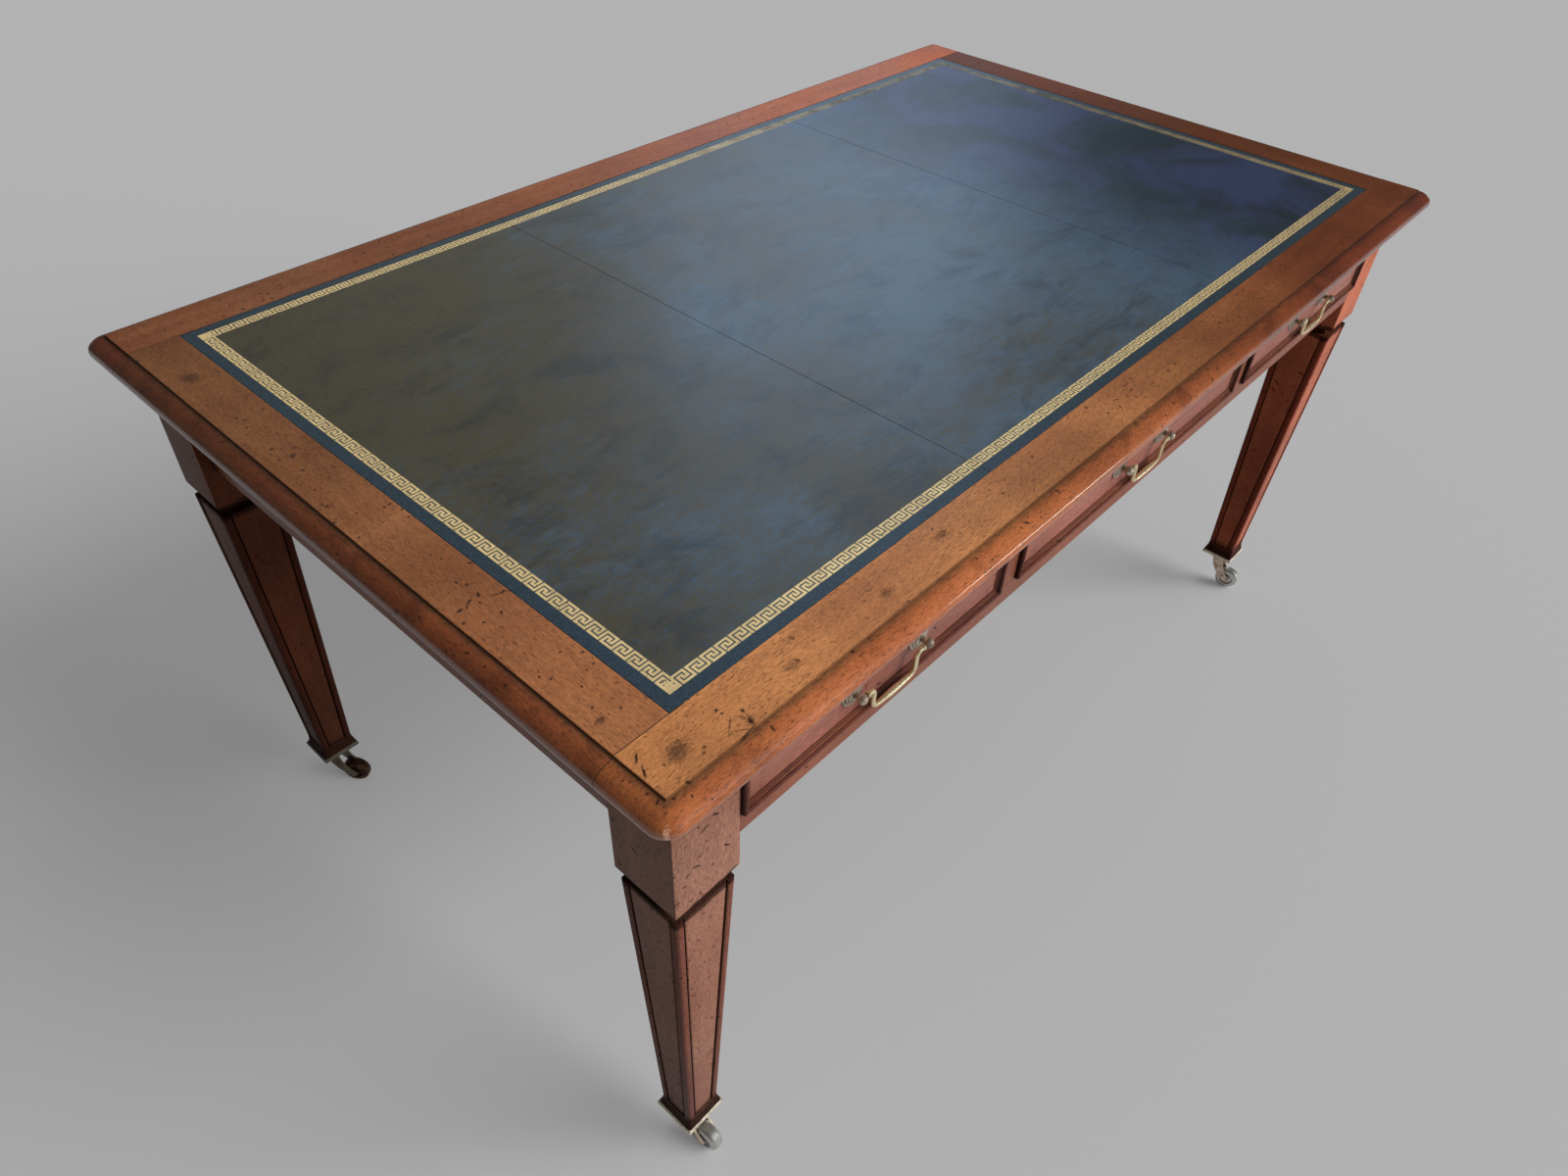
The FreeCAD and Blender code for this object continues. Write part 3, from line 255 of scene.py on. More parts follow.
class Effects:
    """The effects that several finishes share, each a node group that is built once."""

    def __init__(self) -> None:
        """Builds the groups."""
        self.grain = effect("timber_grain", {"Vector": None, "Figure": 1.0}, self._lay_grain)
        self.marks = effect(
            "knocks", {"Vector": None, "Scale": 30.0, "Share": 0.1}, self._lay_marks)
        self.ticks = effect(
            "ticks", {"Vector": None, "Scale": 100.0, "Share": 0.5}, self._lay_ticks)
        self.wear_and_occlusion = effect("wear_and_occlusion", {"Radius": 0.003, "Reach": 0.012}, self._lay_wear_and_occlusion)
        self.tarnish = effect("tarnish", {"Vector": None, "Scale": 60.0}, self._lay_tarnish)

    @staticmethod
    def _lay_grain(g: Graph, given: Sockets) -> Sockets:
        """Long streaks, short open pores and broad figure of a timber that runs along X."""
        vector = given["Vector"]
        sway = g.noise(g.stretch(vector, 2.2, 5.0, 5.0), 1.0, 2.0)
        lift = g.times(g.math("SUBTRACT", sway, 0.5), 0.03)
        shift = g.add("CombineXYZ", {0: 0.0, 1: lift, 2: lift}).outputs[0]
        bent = g.vector("ADD", vector, shift)
        broad = g.noise(g.stretch(bent, 3.0, 55.0, 55.0), 1.0, 4.0, 0.62)
        fine = g.noise(g.stretch(bent, 150.0, 640.0, 640.0), 1.0, 3.0, 0.65)
        streak = g.math("ADD", g.times(broad, 0.36), g.times(fine, 0.64))
        pores = g.noise(g.stretch(bent, 200.0, 820.0, 820.0), 1.0, 2.0, 0.5)
        pore = g.ease(pores, 0.56, 0.70)
        figure = g.times(given["Figure"], 9.0)
        ribbon = g.noise(g.stretch(bent, 1.0, 0.35, 0.35), figure, 2.0, 0.5, 0.4)
        cloud = g.noise(vector, 3.2, 4.0, 0.6, 0.3)
        return {"Streak": g.ease(streak, 0.30, 0.70), "Pore": pore,
                "Cloud": g.ease(cloud, 0.3, 0.7), "Ribbon": g.ease(ribbon, 0.3, 0.7)}

    @staticmethod
    def _lay_marks(g: Graph, given: Sockets) -> Sockets:
        """Scattered small dents and ink flecks: a few random cells each hold one."""
        warp = g.add("TexNoise", {"Vector": given["Vector"], "Scale": 240.0, "Detail": 2.0})
        wobble = g.vector("SCALE", warp.outputs["Color"], 0.007)
        moved = g.vector("ADD", given["Vector"], wobble)
        cells = g.add("TexVoronoi", {"Vector": moved, "Scale": given["Scale"]}).outputs
        lot = g.add("SeparateColor", {0: cells["Color"]}).outputs
        chosen = g.math("LESS_THAN", lot[0], given["Share"])
        inside = g.math("SUBTRACT", g.line(lot[1], 0.13, 0.03), cells["Distance"])
        return {"Mask": g.times(g.ease(inside, -0.01, 0.03), chosen)}

    @staticmethod
    def _lay_ticks(g: Graph, given: Sockets) -> Sockets:
        """Short dark dashes that lie every way: a slim grain of its own turn in random cells."""
        half_long, half_wide = 0.42, 0.10
        cells = g.add("TexVoronoi", {"Vector": given["Vector"], "Scale": given["Scale"]}).outputs
        arm = g.vector("SUBTRACT", given["Vector"], cells["Position"])
        arm = g.vector("SCALE", arm, given["Scale"])
        way = g.vector("NORMALIZE", g.vector("SUBTRACT", cells["Color"], (0.5, 0.5, 0.5)))
        along = g.vector("DOT_PRODUCT", arm, way)
        reach = g.vector("DOT_PRODUCT", arm, arm)
        square = g.times(along, along)
        across = g.times(g.math("SUBTRACT", reach, square), 1 / half_wide ** 2)
        size = g.line(square, 1 / half_long ** 2, across)
        lot = g.add("SeparateColor", {0: cells["Color"]}).outputs[0]
        chosen = g.math("LESS_THAN", g.math("FRACT", g.times(lot, 37.0)), given["Share"])
        return {"Mask": g.times(g.ease(size, 1.2, 0.7), chosen)}

    @staticmethod
    def _lay_wear_and_occlusion(g: Graph, given: Sockets) -> Sockets:
        """Rubbed outer edges, and a recess mask from ambient occlusion: painted shade on timber,
        patina on metal.
        """
        rounded = g.add("Bevel", {"Radius": given["Radius"]}, samples=4).outputs[0]
        plain = g.add("NewGeometry").outputs["Normal"]
        turned = g.ease(g.vector("DOT_PRODUCT", rounded, plain), 0.995, 0.86)
        shelter = g.add("AmbientOcclusion", {"Distance": given["Reach"]}, samples=6).outputs["AO"]
        recess = g.ease(shelter, 0.92, 0.42)
        outer = g.math("SUBTRACT", turned, g.times(recess, 1.6), clamp=True)
        return {"Edge": outer, "Recess": recess}

    @staticmethod
    def _lay_tarnish(g: Graph, given: Sockets) -> Sockets:
        """Soft dull clouds on metal and small dark specks."""
        clouds = g.noise(given["Vector"], given["Scale"], 5.0, 0.62, 0.5)
        specks = g.noise(given["Vector"], g.times(given["Scale"], 9.0), 2.0, 0.5)
        return {"Dull": g.ease(clouds, 0.35, 0.68), "Speck": g.ease(specks, 0.62, 0.74)}


# -------- finishes


class Finish:
    """What every finish shares: it makes its material once, on first use."""

    name: str
    effects: ClassVar[Effects]

    def material(self) -> bpy.types.Material:
        """Returns the finish's material, made the first time it is asked for."""
        made = bpy.data.materials.get(self.name)
        if made is None:
            made = bpy.data.materials.new(self.name)
            graph = Graph.fresh(made)
            shader = graph.add("BsdfPrincipled")
            graph.add("OutputMaterial", {0: shader.outputs[0]})
            self.lay(graph, shader)
        return made

    def lay(self, g: Graph, shader: Node) -> None:
        """Lays the finish's own nodes into its shader."""
        raise NotImplementedError

    def timber(self, g: Graph, place: Socket, grain: Grain, figure: float) -> Sockets:
        """Returns the masks of a timber's grain, run the way of the piece."""
        vector = g.add("Mapping", {"Vector": place, "Rotation": grain.value}).outputs[0]
        return g.group(self.effects.grain, Vector=vector, Figure=figure)


@dataclass(frozen=True)
class Spot:
    """One stain, dent or scratch: place and half sizes in millimetres, depth, turn in degrees."""

    x: float
    y: float
    long: float
    wide: float
    depth: float = 1.0
    turn: float = 0.0


STAINS = (
    Spot(-711, -413, 16, 12, 0.72, 20), Spot(-589, -416, 14, 8, 0.5), Spot(-472, -417, 11, 7, 0.6),
    Spot(-379, -405, 13, 7, 0.6), Spot(-653, -431, 7, 4, 1.0, 60), Spot(-650, -420, 4, 2, 1.0, 80),
    Spot(-664, -406, 3, 2), Spot(-659, -437, 22, 0.9, 0.8, 8), Spot(-662, -434, 16, 0.8, 0.7, -34),
    Spot(-668, -424, 18, 0.9, 0.6, 40), Spot(-711, -177, 5, 2, 1.0, 70),
    Spot(-722, -179, 7, 2, 0.9, 30), Spot(-733, -182, 4, 2), Spot(-730, -351, 6, 5, 0.7),
    Spot(-698, -188, 12, 1, 0.9, -20), Spot(-735, -396, 8, 1.5, 1.0, 50),
    Spot(-740, -410, 9, 1.5, 1.0, 62), Spot(-722, 295, 12, 16, 0.6, 20),
)
# Pale chips and scratches on the nosing, partly a painted highlight at the near corner and along the
# front nosing.
CHIPS_AND_HIGHLIGHTS = (
    Spot(-763, -456, 11, 3.5, 0.9, 40), Spot(-757, -462, 8, 2, 0.8, 5),
    Spot(-772, -446, 5, 1.5, 0.7, 70), Spot(-253, -468, 12, 1.6, 0.7), Spot(-300, -470, 16, 1, 0.6),
    Spot(-215, -466, 6, 2, 0.5),
)


@dataclass(frozen=True)
class Mahogany(Finish):
    """Old polished mahogany."""

    name: str
    light: Colour
    dark: Colour
    grain: Grain = Grain.ALONG_X
    ribbon: Colour = shade(112, 52, 28)
    # dark of pores, stains and dirt, also used for painted shade in recesses
    grime_and_shade: Colour = shade(38, 20, 16)
    rubbed: Colour = shade(188, 128, 84)
    gloss: float = 0.36
    coat: float = 0.06
    glaze: float = 0.16
    polish: float = 0.4
    rub: float = 0.5
    # how far recesses are darkened: painted shade together with gathered dirt
    soil_and_shade: float = 0.85
    share: float = 0.3
    open_pores: float = 0.5
    relief: float = 0.22 * MM

    def tint(self, g: Graph, place: Socket, colour: Socket) -> Socket:
        """Lets a finish change the colour of the clean timber from place to place."""
        return colour

    def gathered_and_shaded(self, g: Graph, place: Socket, soiled_and_shaded: Socket) -> Socket:
        """Lets a finish add places where old wax and dust have gathered to the painted shade of the
        recesses.
        """
        return soiled_and_shaded

    def stained(self, g: Graph, place: Socket, stain: Socket) -> Socket:
        """Lets a finish add its own known stains and scratches."""
        return stain

    def polished(self, g: Graph, place: Socket) -> Socket | float:
        """Lets a finish vary its upper layer of polish."""
        return self.coat

    def lay(self, g: Graph, shader: Node) -> None:
        """Lays grain, figure, wear, painted shade in the recesses with gathered dirt, knocks and
        polish.
        """
        place = g.place()
        timber = self.timber(g, place, self.grain, 1.0)
        wear_and_occlusion = g.group(self.effects.wear_and_occlusion, Radius=0.0022, Reach=0.011)
        knocks = g.group(self.effects.marks, Vector=place, Scale=46.0, Share=0.3 * self.share)
        crowd = g.ease(g.noise(place, 11.0, 2.0), 0.38, 0.62, (0.1 * self.share, 1.3 * self.share))
        ticks = g.group(self.effects.ticks, Vector=place, Scale=72.0, Share=crowd)
        colour = g.mix(timber["Streak"], self.dark, self.light)
        colour = g.cover(colour, self.ribbon, timber["Ribbon"], 0.34)
        cloud = g.ease(timber["Cloud"], 0.0, 1.0, (0.84, 1.12))
        cloud = g.add("CombineColor", {0: cloud, 1: cloud, 2: cloud}).outputs[0]
        colour = g.mix(1.0, colour, cloud, "MULTIPLY")
        colour = g.cover(colour, self.grime_and_shade, timber["Pore"], self.open_pores)
        colour = self.tint(g, place, colour)
        rubbing = g.ease(timber["Cloud"], 0.2, 0.9, (0.25 * self.rub, self.rub))
        colour = g.cover(colour, self.rubbed, wear_and_occlusion["Edge"], rubbing)
        # painted shade: recesses found by ambient occlusion are darkened, together with gathered dirt
        soiled_and_shaded = self.gathered_and_shaded(g, place, g.times(wear_and_occlusion["Recess"], self.soil_and_shade))
        colour = g.mix(soiled_and_shaded, colour, self.grime_and_shade)
        stain = g.math("MAXIMUM", g.times(knocks[0], 0.55), g.times(ticks[0], 0.8))
        stain = self.stained(g, place, stain)
        rough = g.line(soiled_and_shaded, 0.25, g.line(timber["Cloud"], 0.10, self.gloss))
        ripple = g.noise(place, 55.0, 2.0, 0.5)
        height = g.line(timber["Streak"], 0.10, g.times(ripple, 0.9))
        height = g.math("SUBTRACT", height, g.times(timber["Pore"], 0.12))
        height = g.math("SUBTRACT", height, stain)
        g.feed(shader, Base_Color=g.mix(stain, colour, self.grime_and_shade),
               Roughness=g.line(stain, 0.2, rough, clamp=True), IOR=POLISH_IOR,
               Specular_IOR_Level=self.polish, Coat_Weight=self.polished(g, place),
               Coat_Roughness=self.glaze, Normal=g.bump(height, self.relief))


@dataclass(frozen=True)
class TopMahogany(Mahogany):
    """Mahogany of the top: soiled beside the quirk and at the joints, inked and scratched."""

    coat: float = 0.14
    glaze: float = 0.07
    share: float = 0.5
    open_pores: float = 0.62
    # painted light and shade: a colour that multiplies the timber towards one end of the rail, over
    # the axis and range below
    far_lighting: Colour = WHITE
    lighting_fade: tuple[int, float, float] = (0, -0.35, 0.65)
    nosing: Colour = (0.78, 0.57, 0.49)
    nosing_patch: Colour = (0.42, 0.34, 0.34)
    nosing_start: float = 0.006
    nosing_coat: float = 0.75
    flat: tuple[float, float] = (0.745, 0.438)
    quirk: tuple[float, float] = (-0.0014, 0.0002)
    quirk_band: tuple[float, float] = (0.0115, 0.0035)
    joint: float = 0.3835
    joint_line: tuple[float, float] = (0.0008, 0.0003)
    joint_reach: float = 0.07
    level: float = 0.765
    spots: tuple[Spot, ...] = STAINS
    chips_and_highlights: tuple[Spot, ...] = CHIPS_AND_HIGHLIGHTS
    chipped_and_highlight: Colour = shade(236, 190, 160)

    def outside(self, g: Graph, place: Socket) -> tuple[Socket, Socket, Socket]:
        """Returns how far a point lies outside the flat, and its distances from the middle."""
        across, deep = (g.math("ABSOLUTE", part) for part in g.parts(place)[:2])
        beyond = g.math("MAXIMUM", g.math("SUBTRACT", across, self.flat[0]),
                        g.math("SUBTRACT", deep, self.flat[1]))
        return beyond, across, deep

    def tint(self, g: Graph, place: Socket, colour: Socket) -> Socket:
        """Paints light and shade towards one end of the rail, reddens its nosing, lays pale chips and
        highlights.
        """
        axis, start, end = self.lighting_fade
        colour = g.dye(g.ease(g.parts(place)[axis], start, end), colour, self.far_lighting)
        on_nosing = g.ease(self.outside(g, place)[0], 0.0, self.nosing_start)
        colour = g.dye(on_nosing, colour, self.nosing)
        patch = g.ease(g.noise(place, 14.0, 4.0, 0.6, 0.6), 0.50, 0.64, (0.0, 0.55))
        colour = g.dye(g.times(on_nosing, patch), colour, self.nosing_patch)
        # pale chips, partly a painted highlight
        return g.mix(self.spotted(g, place, self.chips_and_highlights, 0.0), colour, self.chipped_and_highlight)

    def polished(self, g: Graph, place: Socket) -> Socket:
        """Gives the nosing more polish than the flat."""
        beyond = self.outside(g, place)[0]
        return g.ease(beyond, 0.0, self.nosing_start, (self.coat, self.nosing_coat))

    def gathered_and_shaded(self, g: Graph, place: Socket, soiled_and_shaded: Socket) -> Socket:
        """Adds the soft dark band outside the quirk and the thin lines of the joints."""
        outside, across, deep = self.outside(g, place)
        ragged = g.line(g.noise(place, 60.0, 3.0, 0.6), 0.006, outside)
        band = g.times(g.ease(ragged, *self.quirk_band, (0.0, 0.62)), g.ease(outside, *self.quirk))
        line = g.math("ABSOLUTE", g.math("SUBTRACT", deep, self.joint))
        line = g.times(g.ease(line, *self.joint_line, (0.0, 0.8)),
                       g.math("GREATER_THAN", across, self.flat[0] - self.joint_reach))
        return g.math("MAXIMUM", g.math("MAXIMUM", soiled_and_shaded, band), line)

    def stained(self, g: Graph, place: Socket, stain: Socket) -> Socket:
        """Adds the ink stains and scratches."""
        return self.spotted(g, place, self.spots, stain)

    def spotted(self, g: Graph, place: Socket, spots: tuple[Spot, ...], stain: object) -> Socket:
        """Adds ragged spots to a mask."""
        ragged = g.noise(g.stretch(place, 420.0, 620.0, 620.0), 1.0, 3.0, 0.7)
        for spot in spots:
            offset = g.vector("SUBTRACT", place, (spot.x * MM, spot.y * MM, self.level))
            turned = g.add("VectorRotate", {"Vector": offset, "Angle": -math.radians(spot.turn)},
                           rotation_type="Z_AXIS").outputs[0]
            scaled = g.stretch(turned, 1 / (spot.long * MM), 1 / (spot.wide * MM), 12.0)
            edge = g.line(ragged, 1.9, g.vector("LENGTH", scaled))
            stain = g.math("MAXIMUM", stain, g.ease(edge, 2.0, 1.1, (0.0, spot.depth)))
        return stain


@dataclass(frozen=True)
class LegMahogany(Mahogany):
    """Mahogany of a leg: black in its notch, with old wax and painted shadow of the block, and with
    wax just above the castor plate.
    """

    grain: Grain = Grain.ALONG_Z
    rubbed: Colour = shade(112, 60, 46)
    coat: float = 0.0
    polish: float = 0.08
    rub: float = 0.6
    share: float = 0.9
    notch_level: float = 0.5565
    notch_reach: float = 0.0145
    foot_level: float = 0.080
    foot_reach: float = 0.034
    # painted shade: a colour that multiplies the timber towards the foot
    low: Colour = WHITE
    foot_shade_levels: tuple[float, float] = (0.50, 0.15)
    bead: Colour = (0.56, 0.43, 0.44)
    bead_width: float = 0.0085
    bead_blur: float = 0.001
    axis: tuple[float, float] = (0.692, 0.385)
    foot_half: float = 0.0228
    taper: float = 0.0294
    taper_levels: tuple[float, float] = (0.097, 0.5525)

    def tint(self, g: Graph, place: Socket, colour: Socket) -> Socket:
        """Darkens the timber towards the foot as painted shade, and darkens the beads at the corners.
        """
        across, deep, level = g.parts(place)
        across, deep = (
            g.math("ABSOLUTE", g.math("SUBTRACT", g.math("ABSOLUTE", part), middle))
            for part, middle in zip((across, deep), self.axis)
        )
        start, end = self.taper_levels
        half = g.line(g.math("SUBTRACT", level, start), self.taper, self.foot_half)
        inset = g.math("SUBTRACT", half, g.math("MINIMUM", across, deep))
        on_bead = g.times(g.ease(inset, self.bead_width, self.bead_width - self.bead_blur),
                          g.math("LESS_THAN", level, end))
        colour = g.dye(on_bead, colour, self.bead)
        # painted shade: darker towards the foot
        return g.dye(g.ease(level, *self.foot_shade_levels), colour, self.low)

    def gathered_and_shaded(self, g: Graph, place: Socket, soiled_and_shaded: Socket) -> Socket:
        """Adds the dark notch, wax with painted shadow of the block, and the wax above the plate."""
        level = g.parts(place)[2]
        ragged = g.line(g.noise(place, 110.0, 3.0, 0.65), 0.010, -0.005)
        off = g.math("ABSOLUTE", g.math("SUBTRACT", level, self.notch_level))
        # the notch: old wax with painted shadow of the block above
        notch = g.ease(g.math("ADD", off, ragged), self.notch_reach, 0.7 * self.notch_reach,
                       (0.0, 0.86))
        rise = g.math("ADD", g.math("SUBTRACT", level, self.foot_level), ragged)
        foot = g.ease(rise, self.foot_reach, 0.3 * self.foot_reach, (0.0, 0.95))
        return g.math("MAXIMUM", g.math("MAXIMUM", soiled_and_shaded, notch), foot)


@dataclass(frozen=True)
class WritingHide(Finish):
    """Aged blue-green hide, mottled inside the gilt border and plainer outside it."""

    name: str = "writing_hide"
    teal: Colour = shade(82, 106, 126)
    olive: Colour = shade(78, 72, 54)
    deep: Colour = shade(31, 38, 48)
    violet: Colour = shade(48, 56, 92)
    bottle: Colour = shade(20, 36, 40)
    margin: Colour = shade(54, 70, 80)
    glint: Colour = (0.62, 0.82, 1.0)
    tooled: tuple[float, float] = (0.6640, 0.3563)
    tooled_blur: float = 0.0015
    shaded_reach: tuple[float, float] = (0.10, 0.52)
    relief: float = 0.16 * MM

    def lay(self, g: Graph, shader: Node) -> None:
        """Lays mottling, the plain margin, the worn gloss and the fine grain."""
        place = g.place()
        x, y, _ = g.parts(place)
        broad = g.noise(place, 3.0, 5.0, 0.62, 0.4)
        brushed = g.noise(g.stretch(place, 16.0, 42.0, 16.0), 1.0, 7.0, 0.78, 1.2)
        fibre = g.noise(g.stretch(place, 170.0, 330.0, 170.0), 1.0, 4.0, 0.75)
        blend = g.line(fibre, 0.42, g.line(broad, 0.40, g.times(brushed, 0.24)))
        slope = g.times(g.line(y, -0.35, x), 0.16)
        mottled = g.mix(g.ease(g.math("ADD", blend, slope), 0.44, 0.62), self.olive, self.teal)
        clouds = g.noise(g.stretch(place, 9.0, 17.0, 9.0), 1.0, 7.0, 0.78, 0.5)
        mottled = g.mix(g.ease(clouds, 0.46, 0.68, (0.0, 0.5)), mottled, self.deep)
        beyond = g.ease(x, *self.shaded_reach, (0.0, 0.94))
        patch = g.noise(place, 6.5, 5.0, 0.6, 0.6)
        shaded = g.mix(g.ease(patch, 0.40, 0.58), self.deep, self.violet)
        shaded = g.mix(g.ease(patch, 0.46, 0.36), shaded, self.bottle)
        mottled = g.mix(beyond, mottled, shaded)
        mottled = g.mix(g.ease(fibre, 0.42, 0.62, (0.0, 0.35)), mottled, self.deep)
        out_x, out_y = (g.math("SUBTRACT", g.math("ABSOLUTE", part), half)
                        for part, half in zip((x, y), self.tooled))
        outside = g.math("MAXIMUM", out_x, out_y)
        fleck = g.ease(g.noise(place, 420.0, 4.0, 0.7), 0.40, 0.62)
        plain = g.cover(self.margin, self.deep, fleck, 0.8)
        in_margin = g.ease(outside, -self.tooled_blur, self.tooled_blur)
        pebble = g.add("TexVoronoi", {"Vector": place, "Scale": 900.0}).outputs["Distance"]
        creases = g.noise(place, 260.0, 3.0, 0.6)
        waves = g.noise(place, 24.0, 2.0, 0.5)
        height = g.line(waves, 1.3, g.line(pebble, 0.16, g.times(creases, 0.3)))
        g.feed(shader, Base_Color=g.mix(in_margin, mottled, plain),
               Roughness=g.line(brushed, 0.18, 0.22), IOR=POLISH_IOR, Coat_Weight=0.12,
               Coat_Roughness=0.3, Specular_Tint=self.glint, Normal=g.bump(height, self.relief))


@dataclass(frozen=True)
class Gilding(Finish):
    """Gold leaf pressed into the hide, rubbed in places."""

    name: str = "gilding"
    gold: Colour = shade(255, 226, 164)
    worn: Colour = shade(80, 72, 56)
    relief: float = 0.04 * MM

    def lay(self, g: Graph, shader: Node) -> None:
        """Lays rubbed leaf over a fine grain."""
        place = g.place()
        rub = g.group(self.effects.tarnish, Vector=place, Scale=45.0)
        x, y, _ = g.parts(place)
        tired = g.ease(g.line(y, 0.8, x), 0.05, 0.80, (0.0, 0.75))
        colour = g.mix(g.line(rub["Dull"], 0.22, tired), self.gold, self.worn)
        g.feed(shader, Base_Color=g.mix(rub["Speck"], colour, self.worn),
               Roughness=g.line(rub["Dull"], 0.15, 0.36),
               Metallic=g.line(rub["Speck"], -0.2, 0.35),
               Normal=g.bump(g.noise(place, 500.0, 2.0), self.relief))


@dataclass(frozen=True)
class Metal(Finish):
    """Brass, steel or iron with its tarnish."""

    name: str
    bright: Colour
    dull: Colour
    # dark of dirt and patina, also painted shade on the back left castor
    grime_and_shade: Colour = shade(40, 32, 24)
    gloss: float = 0.2
    spread: float = 0.2
    tarnished: float = 0.5
    specks: float = 0.4
    scale: float = 60.0
    rub: float = 0.5
    metallic: float = 1.0
    # painted shade: how far the back left castor, under the desk, is darkened
    back_left_shade: float = 0.0
    relief: float = 0.06 * MM

    def lay(self, g: Graph, shader: Node) -> None:
        """Lays tarnish, dark recesses and rubbed edges, and paints shade on the back left castor."""
        place = g.place()
        skin = g.group(self.effects.tarnish, Vector=place, Scale=self.scale)
        wear_and_occlusion = g.group(self.effects.wear_and_occlusion, Radius=0.0008, Reach=0.004)
        colour = g.cover(self.bright, self.dull, skin["Dull"], self.tarnished)
        colour = g.cover(colour, self.bright, wear_and_occlusion["Edge"], self.rub)
        dirt = g.math("MAXIMUM", g.times(wear_and_occlusion["Recess"], 0.85), g.times(skin["Speck"], self.specks))
        # painted shade on the back left castor
        if self.back_left_shade:
            x, y, _ = g.parts(place)
            back_left = g.times(g.math("LESS_THAN", x, 0.0), g.math("GREATER_THAN", y, 0.0))
            colour = g.cover(colour, self.grime_and_shade, back_left, self.back_left_shade)
        rough = g.line(skin["Dull"], self.spread, self.gloss)
        height = g.line(skin["Speck"], -0.8, skin["Dull"])
        g.feed(shader, Base_Color=g.mix(dirt, colour, self.grime_and_shade),
               Roughness=g.line(dirt, 0.3, rough, clamp=True),
               Metallic=g.line(dirt, -0.5, self.metallic), Normal=g.bump(height, self.relief))


@dataclass(frozen=True)
class DrawerTimber(Finish):
    """Plain unpolished timber inside the desk."""

    name: str
    light: Colour = shade(176, 138, 96)
    dark: Colour = shade(132, 94, 60)
    grain: Grain = Grain.ALONG_X
    pore: Colour = shade(70, 46, 30)
    # dark of dust, also painted shade in the corners
    dust_and_shade: Colour = shade(62, 44, 32)
    relief: float = 0.1 * MM

    def lay(self, g: Graph, shader: Node) -> None:
        """Lays dry grain with dust and painted shade in the corners."""
        place = g.place()
        timber = self.timber(g, place, self.grain, 0.7)
        wear_and_occlusion = g.group(self.effects.wear_and_occlusion, Radius=0.001, Reach=0.02)
        colour = g.mix(timber["Streak"], self.dark, self.light)
        colour = g.cover(colour, self.pore, timber["Pore"], 0.45)
        # dust with painted shade in the corners, found by ambient occlusion
        soil_and_shade = g.line(timber["Cloud"], 0.15, g.times(wear_and_occlusion["Recess"], 0.6), clamp=True)
        height = g.line(timber["Pore"], -0.5, timber["Streak"])
        g.feed(shader, Base_Color=g.mix(soil_and_shade, colour, self.dust_and_shade),
               Roughness=g.line(timber["Streak"], 0.1, 0.62), Normal=g.bump(height, self.relief))


# -------- making pieces


def merged_copy(node: str) -> BMesh:
    """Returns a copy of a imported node's mesh, its doubles merged and its flat faces joined."""
    bm = bmesh.new()
    bm.from_mesh(frame["nodes"][node].data)
    bmesh.ops.remove_doubles(bm, verts=bm.verts, dist=MERGED)
    bmesh.ops.dissolve_limit(bm, angle_limit=FLAT, verts=bm.verts, edges=bm.edges)
    return bm


def as_mesh(name: str, bm: BMesh) -> bpy.types.Mesh:
    """Turns a bmesh into a mesh and frees it."""
    mesh = bpy.data.meshes.new(name)
    bm.to_mesh(mesh)
    bm.free()
    return mesh


def stand(name: str, data: bpy.types.ID) -> bpy.types.Object:
    """Puts a new object into the scene."""
    thing = bpy.data.objects.new(name, data)
    bpy.context.scene.collection.objects.link(thing)
    return thing


def soften(bm: BMesh, crease: float) -> None:
    """Shades a mesh smooth, but keeps edges sharper than the crease, in degrees."""
    for face in bm.faces:
        face.smooth = True
    limit = math.radians(crease)
    for edge in bm.edges:
        edge.smooth = len(edge.link_faces) == 2 and edge.calc_face_angle(math.pi) < limit


def add_piece(name: str, bm: BMesh, finish: Finish, node: str,
              eased: float = 0.0, replaces: bool = True) -> None:
    """Turns a finished bmesh into a piece of the desk.

    Args:
        name: the piece's name.
        bm: its mesh, in the desk's own frame.
        finish: what it is finished with.
        node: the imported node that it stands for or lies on.
        eased: width of the rounding on its sharp edges, in metres.
        replaces: whether it stands for the node.
    """
    mesh = as_mesh(name, bm)
    piece = stand(name, mesh)
    mesh.materials.append(finish.material())
    if eased:
        bevel = piece.modifiers.new("eased", "BEVEL")
        bevel.width, bevel.segments, bevel.limit_method = eased, 2, "ANGLE"
        bevel.angle_limit, bevel.harden_normals = EASED_ABOVE, True
        bevel.use_clamp_overlap = True
    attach(piece, frame["nodes"][node]["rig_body"])
    if replaces:
        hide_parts(node)
    log.info("%s: %d faces, on %s", name, len(mesh.polygons), node)


def dress_copy(node: str, finish: Finish, eased: float = 0.0, crease: float = CREASE) -> None:
    """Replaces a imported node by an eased, smoothly shaded copy in its finish."""
    bm = merged_copy(node)
    soften(bm, crease)
    add_piece(f"dressed_{node}", bm, finish, node, eased)


# -------- the desk's parts


